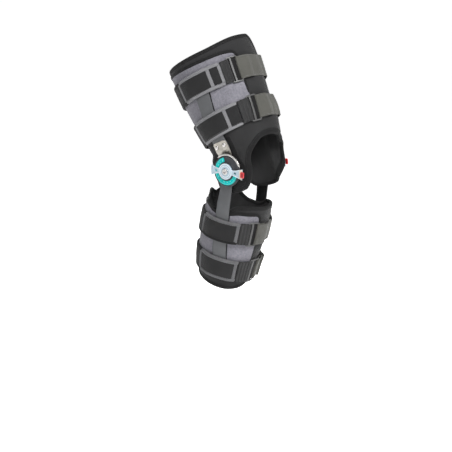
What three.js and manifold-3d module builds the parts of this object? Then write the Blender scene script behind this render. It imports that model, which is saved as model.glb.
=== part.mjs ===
import * as THREE from 'three';
import Module from 'manifold-3d';
import { mergeVertices } from 'three/addons/utils/BufferGeometryUtils.js';

// Hinged knee brace for a right leg, in millimetres. The hinge axis is X through the origin,
// +Z is up, -Y is the front and -X is the outer side. Around a limb, the angle u is 0 at the
// outer side, 90 at the front, 180 at the inner side and -90 at the back. Lift is the distance
// out from the inner face of a wrap.

// Lean of the two halves, in degrees
const THIGH_LEAN = 23.5;
const CALF_LEAN = 11.5;

// Layers over the limb, as lift
const GAP = 0.4;
const SOFT_GAP = 0.75;
const WRAP_THICK = 5;
const PANEL_THICK = 1.5;
const BAR_THICK = 3;
const PAD_THICK = 4;
const WEB_THICK = 1.6;
const BUCKLE_THICK = 2;
const PANEL_LIFT = WRAP_THICK + SOFT_GAP;
const OVER_PANEL = PANEL_LIFT + PANEL_THICK + SOFT_GAP;
const OVER_WRAP = WRAP_THICK + SOFT_GAP;

// Flat bars and straps
const THIGH_BAR_HALF = 16;
const CALF_ARM_HALF = 15;
const STRAP_WIDTH = 48;

// Hinge stack, as distance from the middle plane of the knee
const BRACKET_FACE = 62.4;
const BRACKET_THICK = 2;
const EYE_FACE = 64.8;
const EYE_THICK = 3;
const DIAL_FACE = 68.2;
const DIAL_THICK = 6;
const RECESS = 1;
const RING_FACE = 73.5;
const RING_THICK = 0.8;
const BACK_LEVER_FACE = 74.7;
const FRONT_LEVER_FACE = 76.4;
const LEVER_THICK = 1.3;
const PIVOT_START = 62.6;
const PIVOT_HEAD_FACE = 78.1;
const BUTTON_FACE = 78.1;
const BUTTON_THICK = 2.4;

// Hinge radii and lengths
const PIVOT_RADIUS = 4;
const PIVOT_HEAD_RADIUS = 7;
const PIVOT_HEAD_HEIGHT = 1.8;
const BORE_RADIUS = 4.4;
const DIAL_RADIUS = 33.5;
const BRACKET_RADIUS = 35.5;
const EYE_RADIUS = 27;
const RING_INNER = 20.6;
const RING_OUTER = 29.6;
const RING_FROM = 95;
const RING_TO = 355;
const SPACER_INNER = 28.2;
const SPACER_OUTER = 31;
const SPACER_FROM = 40;
const SPACER_TO = 140;
const DIAL_EDGE = 1.5;
const RECESS_CLEARANCE = 0.4;
const RECESS_DRAFT = 0.2;
const HUB_RADIUS = 17;
const BACK_LEVER_REACH = 38;
const FRONT_LEVER_REACH = 45;
const LEVER_END_HALF = 11.5;
const LEVER_END_BULGE = 1.6;
const LEVER_JOIN = 26;
const WINDOW_AT = 26;
const WINDOW_HALF_LENGTH = 3;
const WINDOW_HALF_HEIGHT = 4;
const FRONT_LEVER_TURN = { outer: -3, inner: 7 };
const BUTTON_START = 41.5;
const BUTTON_END = 51;
const BUTTON_HALF = 6.5;
const BUTTON_CORNER = 2;
const ROUND_STEPS = 24;
const LEVER_STEPS = 8;
const BUTTON_STEPS = 3;

// Metal strips, as heights along the limb
const BAR_LOW = 47;
const BAR_HIGH = 205;
const BEND_LOW = 31;
const BEND_HIGH = 46;
const BRACKET_TOP = 63;
const BRACKET_HALF = 17.5;
const BRACKET_CORNER = 7;
const RIVET_Z = 54;
const RIVET_APART = 20;
const RIVET_RADIUS = 4.4;
const RIVET_HEIGHT = 2.5;
const RIVET_STEPS = 12;
const TONGUE_LOW = 10;
const LAP_LOW = 56;
const LAP_HIGH = 65;
const ARM_LOW = -232;
const ARM_BENT = -78;
const ARM_FLAT = -34;
const ARM_HIGH = -12;
const THIGH_BAR_SLOPE = -0.09;
const CALF_ARM_SLOPE = 0.043;

const THIGH_SECTIONS = [
  { z: -60, halfWidth: 56, halfDepth: 58, centreY: -4 },
  { z: 0, halfWidth: 56, halfDepth: 58, centreY: -4 },
  { z: 30, halfWidth: 55.8, halfDepth: 61.5, centreY: -6 },
  { z: 60, halfWidth: 62.5, halfDepth: 68, centreY: -8 },
  { z: 90, halfWidth: 71.5, halfDepth: 74.5, centreY: -9 },
  { z: 120, halfWidth: 77, halfDepth: 79.5, centreY: -7.5 },
  { z: 150, halfWidth: 80, halfDepth: 83, centreY: -5 },
  { z: 200, halfWidth: 84, halfDepth: 87, centreY: -2 },
  { z: 270, halfWidth: 92, halfDepth: 95, centreY: 0 },
];

const CALF_SECTIONS = [
  { z: -280, halfWidth: 48.5, halfDepth: 50.5, centreY: 12 },
  { z: -220, halfWidth: 55, halfDepth: 57, centreY: 12 },
  { z: -175, halfWidth: 60, halfDepth: 62, centreY: 10 },
  { z: -130, halfWidth: 62, halfDepth: 64, centreY: 8 },
  { z: -80, halfWidth: 62, halfDepth: 63, centreY: 6 },
  { z: -50, halfWidth: 60, halfDepth: 60, centreY: 4 },
  { z: 0, halfWidth: 56, halfDepth: 56, centreY: 0 },
];

// Muscle above and below the kneecap on the inner side, as extra lift of everything on the limb
const THIGH_BULGE = [
  { z: -60, extra: 1 },
  { z: -25, extra: 8 },
  { z: 5, extra: 14 },
  { z: 35, extra: 16 },
  { z: 70, extra: 14 },
  { z: 105, extra: 10 },
  { z: 140, extra: 4 },
  { z: 190, extra: 4 },
  { z: 240, extra: 1 },
  { z: 270, extra: 0 },
];

const CALF_BULGE = [
  { z: -280, extra: 0 },
  { z: -200, extra: 1 },
  { z: -130, extra: 4 },
  { z: -80, extra: 4 },
  { z: 0, extra: 4 },
];
// Front edge of the inner wing, which stands a little off the leg
const WING_FLARE = [
  { z: -60, extra: 9 },
  { z: -25, extra: 13 },
  { z: 0, extra: 12 },
  { z: 25, extra: 9 },
  { z: 48, extra: 5 },
  { z: 76, extra: 0 },
  { z: 270, extra: 0 },
];
// Back edge of the outer wing, which is stiff and stands off the leg
const BACK_FLARE = [
  { z: -60, extra: 9 },
  { z: -40, extra: 10 },
  { z: -22, extra: 11 },
  { z: 16, extra: 11 },
  { z: 34, extra: 7 },
  { z: 48, extra: 0 },
  { z: 270, extra: 0 },
];
const BACK_FLARE_AT = -54;
const BACK_FLARE_HALF = 8;
const BACK_FLARE_RAMP = 24;
const FLARE_AT = 136;
const FLARE_HALF = 3;
const FLARE_RAMP = 15;
const BULGE_AT = 118;
const BULGE_HALF = 2;
const BULGE_RAMP = 42;

// Edges of the wraps; the ones that are the same on both sides stop at the front
const THIGH_TOP = [
  { u: -90, z: 244 },
  { u: -48, z: 246 },
  { u: 28, z: 253 },
  { u: 76, z: 264 },
  { u: 97, z: 265 },
  { u: 104, z: 260 },
  { u: 116, z: 240 },
  { u: 124, z: 226 },
  { u: 134, z: 221 },
  { u: 180, z: 238 },
  { u: 270, z: 244 },
];

const THIGH_BOTTOM_HALF = [
  { u: -90, z: 58 },
  { u: -70, z: 55 },
  { u: -62, z: 47 },
  { u: -54, z: 16 },
  { u: -48, z: -22 },
  { u: -35, z: -41 },
  { u: -12, z: -48 },
  { u: 6, z: -50 },
  { u: 18, z: -49 },
  { u: 28, z: -41 },
  { u: 40, z: -16 },
  { u: 47, z: 18 },
  { u: 60, z: 34 },
  { u: 75, z: 45 },
  { u: 90, z: 48 },
];

const CALF_TOP_HALF = [
  { u: -90, z: -78 },
  { u: -64, z: -64 },
  { u: -52, z: -61 },
  { u: -42, z: -64 },
  { u: -30, z: -82 },
  { u: -14, z: -91 },
  { u: 4, z: -92 },
  { u: 20, z: -84 },
  { u: 32, z: -74 },
  { u: 57, z: -70 },
  { u: 76, z: -71 },
  { u: 90, z: -72 },
];

const CALF_BOTTOM = [
  { u: -90, z: -250 },
  { u: -57, z: -254 },
  { u: -18, z: -262 },
  { u: 13, z: -267 },
  { u: 40, z: -269 },
  { u: 62, z: -267 },
  { u: 79, z: -263 },
  { u: 101, z: -253 },
  { u: 125, z: -249 },
  { u: 180, z: -256 },
  { u: 270, z: -250 },
];

// Facets of the wraps
const THIGH_COLUMNS = 60;
const THIGH_ROWS = 12;
const CALF_COLUMNS = 48;
const CALF_ROWS = 7;

// Felt panels: angle range, corner size in degrees and millimetres, and the heights of the
// upper and lower edges at the back with their rise at the front
const THIGH_PANEL = {
  from: -74,
  to: 70,
  cornerU: 9,
  cornerZ: 14,
  top: 214,
  topRise: 20,
  low: 72,
  lowRise: 17,
  columns: 18,
  rows: 8,
};
const CALF_PANEL = {
  from: -62,
  to: 82,
  cornerU: 12,
  cornerZ: 13,
  top: -97,
  topRise: 9,
  low: -246,
  lowRise: -6,
  columns: 18,
  rows: 6,
};
const EDGE_CROWDING = 0.6;

// Straps: middle height at the back and its rise at the front, the front end of the belt,
// the buckle's middle bar, the half angle of the bump over a bar, and rows of facets
const STRAPS = [
  { name: 'upper_thigh', z: 184, rise: 12, beltEnd: 43, buckle: 58, bump: 13, rows: 2 },
  { name: 'lower_thigh', z: 90, rise: 18, beltEnd: 47, buckle: 67, bump: 14, rows: 3 },
  { name: 'upper_calf', z: -131, rise: 0, beltEnd: 45, buckle: 66.5, bump: 16, rows: 2 },
  { name: 'lower_calf', z: -213, rise: -9, beltEnd: 56, buckle: 90, bump: 18, rows: 2 },
];
const BELT_INNER_END = -232;
const BELT_COLUMNS = 48;
const WEB_INNER_END = 205;
const WEB_STEPS = 24;
const BUMP_RAMP = 10;
const PANEL_RAMP_START = 3;

// Buckle across the strap's run, in millimetres from its middle bar
const FOLD_BAR_START = -10.1;
const FOLD_BAR_END = -7.1;
const MIDDLE_BAR_HALF = 2.5;
const WEB_BAR_START = 14;
const WEB_BAR_END = 17.4;
const BUCKLE_HALF_HEIGHT = STRAP_WIDTH / 2 + 4;
const SLOT_HALF_HEIGHT = STRAP_WIDTH / 2 + 0.8;
const UNDER_LIFT = OVER_PANEL + WEB_THICK / 2;
const BUCKLE_LIFT = OVER_PANEL + WEB_THICK + GAP;
const OVER_LIFT = BUCKLE_LIFT + BUCKLE_THICK + GAP + WEB_THICK / 2;
const LOOP_RADIUS = (OVER_LIFT - UNDER_LIFT) / 2;
const LOOP_INSET = 0.5;
const LOOP_STEPS = 5;
const SLOT_STEPS = 4;
const FOLD_START = 0.6;
const UNDER_RUN = 34;
const OVER_RUN = 36;
const RAMP_RUN = 22;
const BELT_STEP = 14;
const BELT_STEP_RAMP = 12;

const COLOURS = {
  neoprene: 0x1d1d20,
  felt: 0xa9abb3,
  steel: 0xbcb6a8,
  rivet: 0xd8d6d0,
  bar: 0x6b6c6e,
  blackBar: 0x222224,
  dial: 0x2c2f33,
  teal: 0x2f7f86,
  lever: 0xa8b6c0,
  red: 0xb02a24,
  belt: 0x262629,
  web: 0x77736c,
  fold: 0x35353a,
  buckle: 0x9b9ea2,
};

const wasm = await Module();
wasm.setup();

const radians = (degrees) => (degrees * Math.PI) / 180;
const degrees = (angle) => (angle * 180) / Math.PI;
const mix = (a, b, t) => a + (b - a) * t;

function smoothStep(t) {
  const s = Math.min(1, Math.max(0, t));
  return s * s * (3 - 2 * s);
}

// Value of one column of a table at a place along another, with no overshoot
function lookUp(table, along, column, at) {
  const last = table.length - 1;
  const x = Math.min(table[last][along], Math.max(table[0][along], at));
  let i = 0;
  while (i < last - 1 && x > table[i + 1][along]) {
    i += 1;
  }
  const slope = (k) => {
    const run = table[k + 1][along] - table[k][along];
    return (table[k + 1][column] - table[k][column]) / run;
  };
  const tangent = (k) => {
    if (k === 0) {
      return slope(0);
    }
    if (k === last) {
      return slope(last - 1);
    }
    const before = slope(k - 1);
    const after = slope(k);
    return before * after > 0 ? (2 * before * after) / (before + after) : 0;
  };
  const run = table[i + 1][along] - table[i][along];
  const t = (x - table[i][along]) / run;
  const a = table[i][column];
  const b = table[i + 1][column];
  const t2 = t * t;
  const t3 = t2 * t;
  const ends = (2 * t3 - 3 * t2 + 1) * a + (3 * t2 - 2 * t3) * b;
  return ends + run * ((t3 - 2 * t2 + t) * tangent(i) + (t3 - t2) * tangent(i + 1));
}

const oneSide = (u) => (u > 90 ? 180 - u : u);
const thighTop = (u) => lookUp(THIGH_TOP, 'u', 'z', u);
const thighBottom = (u) => lookUp(THIGH_BOTTOM_HALF, 'u', 'z', oneSide(u));
const calfTop = (u) => lookUp(CALF_TOP_HALF, 'u', 'z', oneSide(u));
const calfBottom = (u) => lookUp(CALF_BOTTOM, 'u', 'z', u);

// Share of the way from the back to the front
const frontShare = (u) => Math.pow((1 + Math.sin(radians(u))) / 2, 1.5);

// 1 within half an angle of a place, falling to 0 over a ramp
const plateau = (u, at, half, ramp) => 1 - smoothStep((Math.abs(u - at) - half) / ramp);

// Extra lift of everything that lies on the inner front of a limb
function bulge(sections, u, z) {
  const nearest = u - 360 * Math.round((u - BULGE_AT) / 360);
  const share = plateau(nearest, BULGE_AT, BULGE_HALF, BULGE_RAMP);
  if (sections === CALF_SECTIONS) {
    return share * lookUp(CALF_BULGE, 'z', 'extra', z);
  }
  const flare = plateau(nearest, FLARE_AT, FLARE_HALF, FLARE_RAMP) * lookUp(WING_FLARE, 'z', 'extra', z);
  const fromBack = u - 360 * Math.round((u - BACK_FLARE_AT) / 360);
  const backShare = plateau(fromBack, BACK_FLARE_AT, BACK_FLARE_HALF, BACK_FLARE_RAMP);
  const backFlare = backShare * lookUp(BACK_FLARE, 'z', 'extra', z);
  return share * lookUp(THIGH_BULGE, 'z', 'extra', z) + flare + backFlare;
}

// Point over a limb
function skin(sections, u, z, layer) {
  const width = lookUp(sections, 'z', 'halfWidth', z);
  const depth = lookUp(sections, 'z', 'halfDepth', z);
  const centre = lookUp(sections, 'z', 'centreY', z);
  const c = Math.cos(radians(u));
  const s = Math.sin(radians(u));
  const length = Math.hypot(depth * c, width * s);
  const lift = layer + bulge(sections, u, z);
  const x = -width * c - (lift * depth * c) / length;
  const y = centre - depth * s - (lift * width * s) / length;
  return new THREE.Vector3(x, y, z);
}

// Angle at which a limb's surface reaches a depth
function angleAt(sections, y, z) {
  const depth = lookUp(sections, 'z', 'halfDepth', z);
  const centre = lookUp(sections, 'z', 'centreY', z);
  return degrees(Math.asin((centre - y) / depth));
}

function meshGeometry(points, faces) {
  const flat = [];
  for (const p of points) {
    flat.push(p.x, p.y, p.z);
  }
  const geometry = new THREE.BufferGeometry();
  geometry.setAttribute('position', new THREE.Float32BufferAttribute(flat, 3));
  geometry.setIndex(faces);
  return geometry;
}

// Closed sheet between two grids of points; columns run with growing u and rows upwards
function thickSheet(columns, rows, closed, inner, outer) {
  const points = [];
  const faces = [];
  const count = closed ? columns : columns + 1;
  for (const side of [inner, outer]) {
    for (let i = 0; i < count; i += 1) {
      for (let j = 0; j <= rows; j += 1) {
        points.push(side(i, j));
      }
    }
  }
  const at = (layer, i, j) => layer * count * (rows + 1) + (i % count) * (rows + 1) + j;
  const quad = (a, b, c, d) => faces.push(a, b, c, a, c, d);
  for (let i = 0; i < columns; i += 1) {
    for (let j = 0; j < rows; j += 1) {
      quad(at(1, i, j), at(1, i + 1, j), at(1, i + 1, j + 1), at(1, i, j + 1));
      quad(at(0, i, j), at(0, i, j + 1), at(0, i + 1, j + 1), at(0, i + 1, j));
    }
    quad(at(1, i, 0), at(0, i, 0), at(0, i + 1, 0), at(1, i + 1, 0));
    quad(at(1, i, rows), at(1, i + 1, rows), at(0, i + 1, rows), at(0, i, rows));
  }
  if (!closed) {
    for (let j = 0; j < rows; j += 1) {
      quad(at(1, 0, j), at(1, 0, j + 1), at(0, 0, j + 1), at(0, 0, j));
      const end = columns;
      quad(at(1, end, j), at(0, end, j), at(0, end, j + 1), at(1, end, j + 1));
    }
  }
  return meshGeometry(points, faces);
}

// Same shape on the other side of the knee
function mirrored(geometry) {
  const copy = geometry.index ? geometry.toNonIndexed() : geometry.clone();
  const position = copy.getAttribute('position');
  const flat = [];
  for (let i = 0; i < position.count; i += 3) {
    for (const k of [i, i + 2, i + 1]) {
      flat.push(-position.getX(k), position.getY(k), position.getZ(k));
    }
  }
  const made = new THREE.BufferGeometry();
  made.setAttribute('position', new THREE.Float32BufferAttribute(flat, 3));
  return made;
}

function toSolid(geometry) {
  const plain = geometry.clone();
  plain.deleteAttribute('normal');
  plain.deleteAttribute('uv');
  const merged = mergeVertices(plain, 1e-4);
  return new wasm.Manifold(
    new wasm.Mesh({
      numProp: 3,
      vertProperties: new Float32Array(merged.attributes.position.array),
      triVerts: new Uint32Array(merged.index.array),
    }),
  );
}

function fromSolid(solid) {
  const mesh = solid.getMesh();
  const geometry = new THREE.BufferGeometry();
  geometry.setAttribute('position', new THREE.Float32BufferAttribute(mesh.vertProperties, 3));
  geometry.setIndex([...mesh.triVerts]);
  return geometry;
}

// Flat plate on the outer side: shape across is front and up, thickness is away from the knee
function plate(shape, face, thick, arcSteps = ROUND_STEPS / 2) {
  const geometry = new THREE.ExtrudeGeometry(shape, {
    depth: thick,
    bevelEnabled: false,
    curveSegments: arcSteps,
  });
  const basis = new THREE.Matrix4().set(0, 0, -1, -face, -1, 0, 0, 0, 0, 1, 0, 0, 0, 0, 0, 1);
  return geometry.applyMatrix4(basis);
}

// Round piece on the hinge axis from a profile of radius and distance from the face
function turned(profile, face) {
  const points = profile.map(([radius, along]) => new THREE.Vector2(radius, along));
  const geometry = new THREE.LatheGeometry(points, ROUND_STEPS);
  geometry.rotateZ(Math.PI / 2);
  geometry.translate(-face, 0, 0);
  return geometry;
}

function ringShape(radius, hole) {
  const shape = new THREE.Shape();
  shape.absarc(0, 0, radius, 0, Math.PI * 2, false);
  const bore = new THREE.Path();
  bore.absarc(0, 0, hole, 0, Math.PI * 2, true);
  shape.holes.push(bore);
  return shape;
}

function sectorShape(inner, outer, from, to) {
  const shape = new THREE.Shape();
  shape.absarc(0, 0, outer, from, to, false);
  shape.absarc(0, 0, inner, to, from, true);
  return shape;
}

function wrapGeometry(sections, top, bottom, columns, rows) {
  const place = (lift) => (i, j) => {
    const u = -90 + (360 * i) / columns;
    return skin(sections, u, mix(bottom(u), top(u), j / rows), lift);
  };
  return thickSheet(columns, rows, true, place(0), place(WRAP_THICK));
}

function panelGeometry(sections, panel) {
  const { columns, rows } = panel;
  const middle = (panel.from + panel.to) / 2;
  const half = (panel.to - panel.from) / 2;
  const cornerCut = (u) => {
    const into = Math.abs(u - middle) - (half - panel.cornerU);
    const share = Math.min(1, Math.max(0, into / panel.cornerU));
    return panel.cornerZ * (1 - Math.sqrt(1 - share * share));
  };
  const place = (lift) => (i, j) => {
    const sweep = Math.sin(Math.PI * (i / columns - 0.5));
    const u = middle + half * mix(2 * (i / columns) - 1, sweep, EDGE_CROWDING);
    const high = panel.top + panel.topRise * frontShare(u) - cornerCut(u);
    const low = panel.low + panel.lowRise * frontShare(u) + cornerCut(u);
    return skin(sections, u, mix(low, high, j / rows), lift);
  };
  return thickSheet(columns, rows, false, place(PANEL_LIFT), place(PANEL_LIFT + PANEL_THICK));
}

function range(from, to, steps) {
  const list = [];
  for (let i = 0; i <= steps; i += 1) {
    list.push(mix(from, to, i / steps));
  }
  return list;
}

// Depth of a bar's middle line, and the lift of a bar on the wrap or on its panel
const thighBarY = (z) => THIGH_BAR_SLOPE * z;
const calfArmY = (z) => CALF_ARM_SLOPE * z;
const onWrap = () => OVER_WRAP;
const overPanel = (z) => {
  const share = smoothStep((z - LAP_LOW) / (LAP_HIGH - LAP_LOW));
  return mix(OVER_WRAP, OVER_PANEL, share);
};

// Strip of metal that is flat near the hinge and follows the limb further off
function strip(limb, zList, half, flatShare, flatFace, lift, thick) {
  const columns = 4;
  const place = (extra) => (i, j) => {
    const z = zList[j];
    const across = mix(half(z), -half(z), i / columns);
    const flat = new THREE.Vector3(-(flatFace + extra), limb.barY(z) + across, z);
    const radius = lookUp(limb.sections, 'z', 'halfWidth', z) + lift(z);
    const u = angleAt(limb.sections, limb.barY(z), z) - degrees(across / radius);
    return skin(limb.sections, u, z, lift(z) + extra).lerp(flat, flatShare(z));
  };
  return thickSheet(columns, zList.length - 1, false, place(0), place(thick));
}

function thighBar(lift) {
  const zList = [BAR_LOW, LAP_LOW, ...range(LAP_HIGH, BAR_HIGH, 8)];
  return strip(THIGH, zList, () => THIGH_BAR_HALF, () => 0, 0, lift, BAR_THICK);
}

function bracket(barLift) {
  const zList = [TONGUE_LOW, ...range(BEND_LOW, BEND_HIGH, 3), ...range(LAP_LOW, BRACKET_TOP, 3)];
  const half = (z) => {
    const share = smoothStep((z - LAP_LOW) / (BRACKET_TOP - LAP_LOW));
    return BRACKET_HALF - BRACKET_CORNER * share ** 2;
  };
  const flatShare = (z) => 1 - smoothStep((z - BEND_LOW) / (BEND_HIGH - BEND_LOW));
  const lift = (z) => barLift(z) + BAR_THICK + GAP;
  const tongue = strip(THIGH, zList, half, flatShare, BRACKET_FACE, lift, BRACKET_THICK);
  const disc = plate(ringShape(BRACKET_RADIUS, BORE_RADIUS), BRACKET_FACE, BRACKET_THICK);
  const spacer = plate(
    sectorShape(SPACER_INNER, SPACER_OUTER, radians(SPACER_FROM), radians(SPACER_TO)),
    BRACKET_FACE + BRACKET_THICK / 2,
    DIAL_FACE - GAP - BRACKET_FACE - BRACKET_THICK / 2,
  );
  return fromSolid(toSolid(disc).add(toSolid(tongue)).add(toSolid(spacer)).subtract(bore()));
}

function calfArm(lift) {
  const straight = range(ARM_LOW, ARM_BENT, 6);
  const bend = range(ARM_BENT, ARM_FLAT, 4).slice(1);
  const zList = [...straight, ...bend, ARM_HIGH];
  const flatShare = (z) => smoothStep((z - ARM_BENT) / (ARM_FLAT - ARM_BENT));
  const blade = strip(CALF, zList, () => CALF_ARM_HALF, flatShare, EYE_FACE, () => lift, EYE_THICK);
  const disc = plate(ringShape(EYE_RADIUS, BORE_RADIUS), EYE_FACE, EYE_THICK);
  return fromSolid(toSolid(disc).add(toSolid(blade)).subtract(bore()));
}

// Round hole on the hinge axis
function bore() {
  const shape = new THREE.Shape();
  shape.absarc(0, 0, BORE_RADIUS, 0, Math.PI * 2, false);
  return toSolid(plate(shape, BRACKET_FACE - 5, PIVOT_HEAD_FACE - BRACKET_FACE));
}

// Rivet head that sits on a bracket
function rivetMesh(name, across, barLift) {
  const head = [
    [0, 0],
    [RIVET_RADIUS, 0],
    [RIVET_RADIUS, RIVET_HEIGHT * 0.3],
    [RIVET_RADIUS * 0.78, RIVET_HEIGHT * 0.7],
    [RIVET_RADIUS * 0.4, RIVET_HEIGHT * 0.95],
    [0, RIVET_HEIGHT],
  ];
  const points = head.map(([radius, along]) => new THREE.Vector2(radius, along));
  const geometry = new THREE.LatheGeometry(points, RIVET_STEPS);
  const lift = barLift(RIVET_Z) + BAR_THICK + GAP + BRACKET_THICK + GAP;
  const radius = lookUp(THIGH_SECTIONS, 'z', 'halfWidth', RIVET_Z) + lift;
  const u = angleAt(THIGH_SECTIONS, thighBarY(RIVET_Z), RIVET_Z) - degrees(across / radius);
  const at = skin(THIGH_SECTIONS, u, RIVET_Z, lift);
  const around = skin(THIGH_SECTIONS, u + 1, RIVET_Z, lift).sub(at);
  const upward = skin(THIGH_SECTIONS, u, RIVET_Z + 1, lift).sub(at);
  const normal = around.cross(upward).normalize();
  const side = name.includes('inner') ? -1 : 1;
  const mesh = solid(name, geometry, COLOURS.rivet);
  mesh.position.set(at.x * side, at.y, at.z);
  normal.x *= side;
  mesh.quaternion.setFromUnitVectors(new THREE.Vector3(0, 1, 0), normal);
  return mesh;
}

// Range stop: a hub and one arm that widens outwards, with a window
function leverShape(reach) {
  const join = radians(LEVER_JOIN);
  const shape = new THREE.Shape();
  shape.moveTo(reach, -LEVER_END_HALF);
  shape.quadraticCurveTo(reach + LEVER_END_BULGE, 0, reach, LEVER_END_HALF);
  shape.lineTo(HUB_RADIUS * Math.cos(join), HUB_RADIUS * Math.sin(join));
  shape.absarc(0, 0, HUB_RADIUS, join, Math.PI * 2 - join, false);
  const hole = new THREE.Path();
  hole.absarc(0, 0, BORE_RADIUS, 0, Math.PI * 2, true);
  const pane = new THREE.Path();
  pane.moveTo(WINDOW_AT - WINDOW_HALF_LENGTH, 0);
  pane.lineTo(WINDOW_AT, WINDOW_HALF_HEIGHT);
  pane.lineTo(WINDOW_AT + WINDOW_HALF_LENGTH, 0);
  pane.lineTo(WINDOW_AT, -WINDOW_HALF_HEIGHT);
  shape.holes.push(hole, pane);
  return shape;
}

function roundedBox(left, right, halfHeight, corner) {
  const shape = new THREE.Shape();
  shape.moveTo(left + corner, -halfHeight);
  shape.lineTo(right - corner, -halfHeight);
  shape.quadraticCurveTo(right, -halfHeight, right, -halfHeight + corner);
  shape.lineTo(right, halfHeight - corner);
  shape.quadraticCurveTo(right, halfHeight, right - corner, halfHeight);
  shape.lineTo(left + corner, halfHeight);
  shape.quadraticCurveTo(left, halfHeight, left, halfHeight - corner);
  shape.lineTo(left, -halfHeight + corner);
  shape.quadraticCurveTo(left, -halfHeight, left + corner, -halfHeight);
  return shape;
}

const strapZ = (strap, u) => strap.z + strap.rise * frontShare(u);

// Lift of a belt's inner face, which climbs over the panel and both bars
function beltLift(limb, strap, u) {
  const middle = (limb.panel.from + limb.panel.to) / 2;
  const half = (limb.panel.to - limb.panel.from) / 2;
  const bar = angleAt(limb.sections, limb.barY(strap.z), strap.z);
  const base = mix(OVER_WRAP, OVER_PANEL, plateau(u, middle, half + PANEL_RAMP_START, BUMP_RAMP));
  const outer = plateau(u, bar, strap.bump, BUMP_RAMP);
  const inner = plateau(u, -180 - bar, strap.bump, BUMP_RAMP);
  return base + (BAR_THICK + SOFT_GAP) * Math.max(outer, inner);
}

function beltGeometry(limb, strap) {
  const columns = BELT_COLUMNS;
  const rows = strap.rows;
  const place = (extra) => (i, j) => {
    const u = mix(BELT_INNER_END, strap.beltEnd, i / columns);
    const z = strapZ(strap, u) + STRAP_WIDTH * (j / rows - 0.5);
    return skin(limb.sections, u, z, beltLift(limb, strap, u) + extra);
  };
  return thickSheet(columns, rows, false, place(0), place(PAD_THICK));
}

// Ribbon of webbing along a list of angles and lifts
function ribbon(limb, strap, path) {
  const rows = strap.rows;
  const spot = (i, z) => {
    const k = Math.min(path.length - 1, Math.max(0, i));
    return skin(limb.sections, path[k].u, z, path[k].lift);
  };
  const place = (side) => (i, j) => {
    const z = strapZ(strap, path[i].u) + STRAP_WIDTH * (j / rows - 0.5);
    const run = spot(i + 1, z).sub(spot(i - 1, z));
    const left = new THREE.Vector3(-run.y, run.x, 0).normalize();
    return spot(i, z).addScaledVector(left, (side * WEB_THICK) / 2);
  };
  return thickSheet(path.length - 1, rows, false, place(1), place(-1));
}

// Angle of a place given in millimetres along the strap from the buckle's middle bar
function runAngle(limb, strap, run) {
  const z = strapZ(strap, strap.buckle);
  const width = lookUp(limb.sections, 'z', 'halfWidth', z);
  const depth = lookUp(limb.sections, 'z', 'halfDepth', z);
  return strap.buckle + degrees(run / ((width + depth) / 2 + BUCKLE_LIFT));
}

// Half turn round a buckle bar
function loopPath(limb, strap, centre, way) {
  return range(0, 180, LOOP_STEPS).map((turn) => ({
    u: runAngle(limb, strap, centre + way * LOOP_RADIUS * Math.sin(radians(turn))),
    lift: UNDER_LIFT + LOOP_RADIUS * (1 - Math.cos(radians(turn))),
  }));
}

function foldGeometry(limb, strap) {
  const start = strap.beltEnd + FOLD_START;
  const loop = loopPath(limb, strap, FOLD_BAR_END - LOOP_INSET, 1).reverse();
  const end = loop[0].u;
  const over = range(start, end, 4).slice(0, -1).map((u) => ({ u, lift: OVER_LIFT }));
  const under = range(end, start, 4).slice(1).map((u) => ({ u, lift: UNDER_LIFT }));
  return ribbon(limb, strap, [...over, ...loop, ...under]);
}

function webGeometry(limb, strap) {
  const bar = angleAt(limb.sections, limb.barY(strap.z), strap.z);
  const under = [UNDER_RUN, (UNDER_RUN + WEB_BAR_END) / 2].map((run) => ({
    u: runAngle(limb, strap, run),
    lift: UNDER_LIFT,
  }));
  const loop = loopPath(limb, strap, WEB_BAR_START + LOOP_INSET, -1);
  const over = [(WEB_BAR_END + OVER_RUN) / 2, OVER_RUN].map((run) => ({
    u: runAngle(limb, strap, run),
    lift: OVER_LIFT,
  }));
  const from = runAngle(limb, strap, OVER_RUN);
  const low = runAngle(limb, strap, OVER_RUN + RAMP_RUN);
  const beltEdge = 360 + BELT_INNER_END;
  const laidLift = OVER_WRAP + WEB_THICK / 2;
  const onBelt = PAD_THICK + SOFT_GAP;
  const lay = range(from, WEB_INNER_END, WEB_STEPS).slice(1).map((u) => {
    const drop = mix(OVER_LIFT, laidLift, smoothStep((u - from) / (low - from)));
    const climb = onBelt * smoothStep((u - (beltEdge - BELT_STEP)) / BELT_STEP_RAMP);
    const bump = (BAR_THICK + SOFT_GAP) * plateau(u, 180 - bar, strap.bump, BUMP_RAMP);
    return { u, lift: drop + climb + bump };
  });
  return ribbon(limb, strap, [...under, ...loop, ...over, ...lay]);
}

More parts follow.
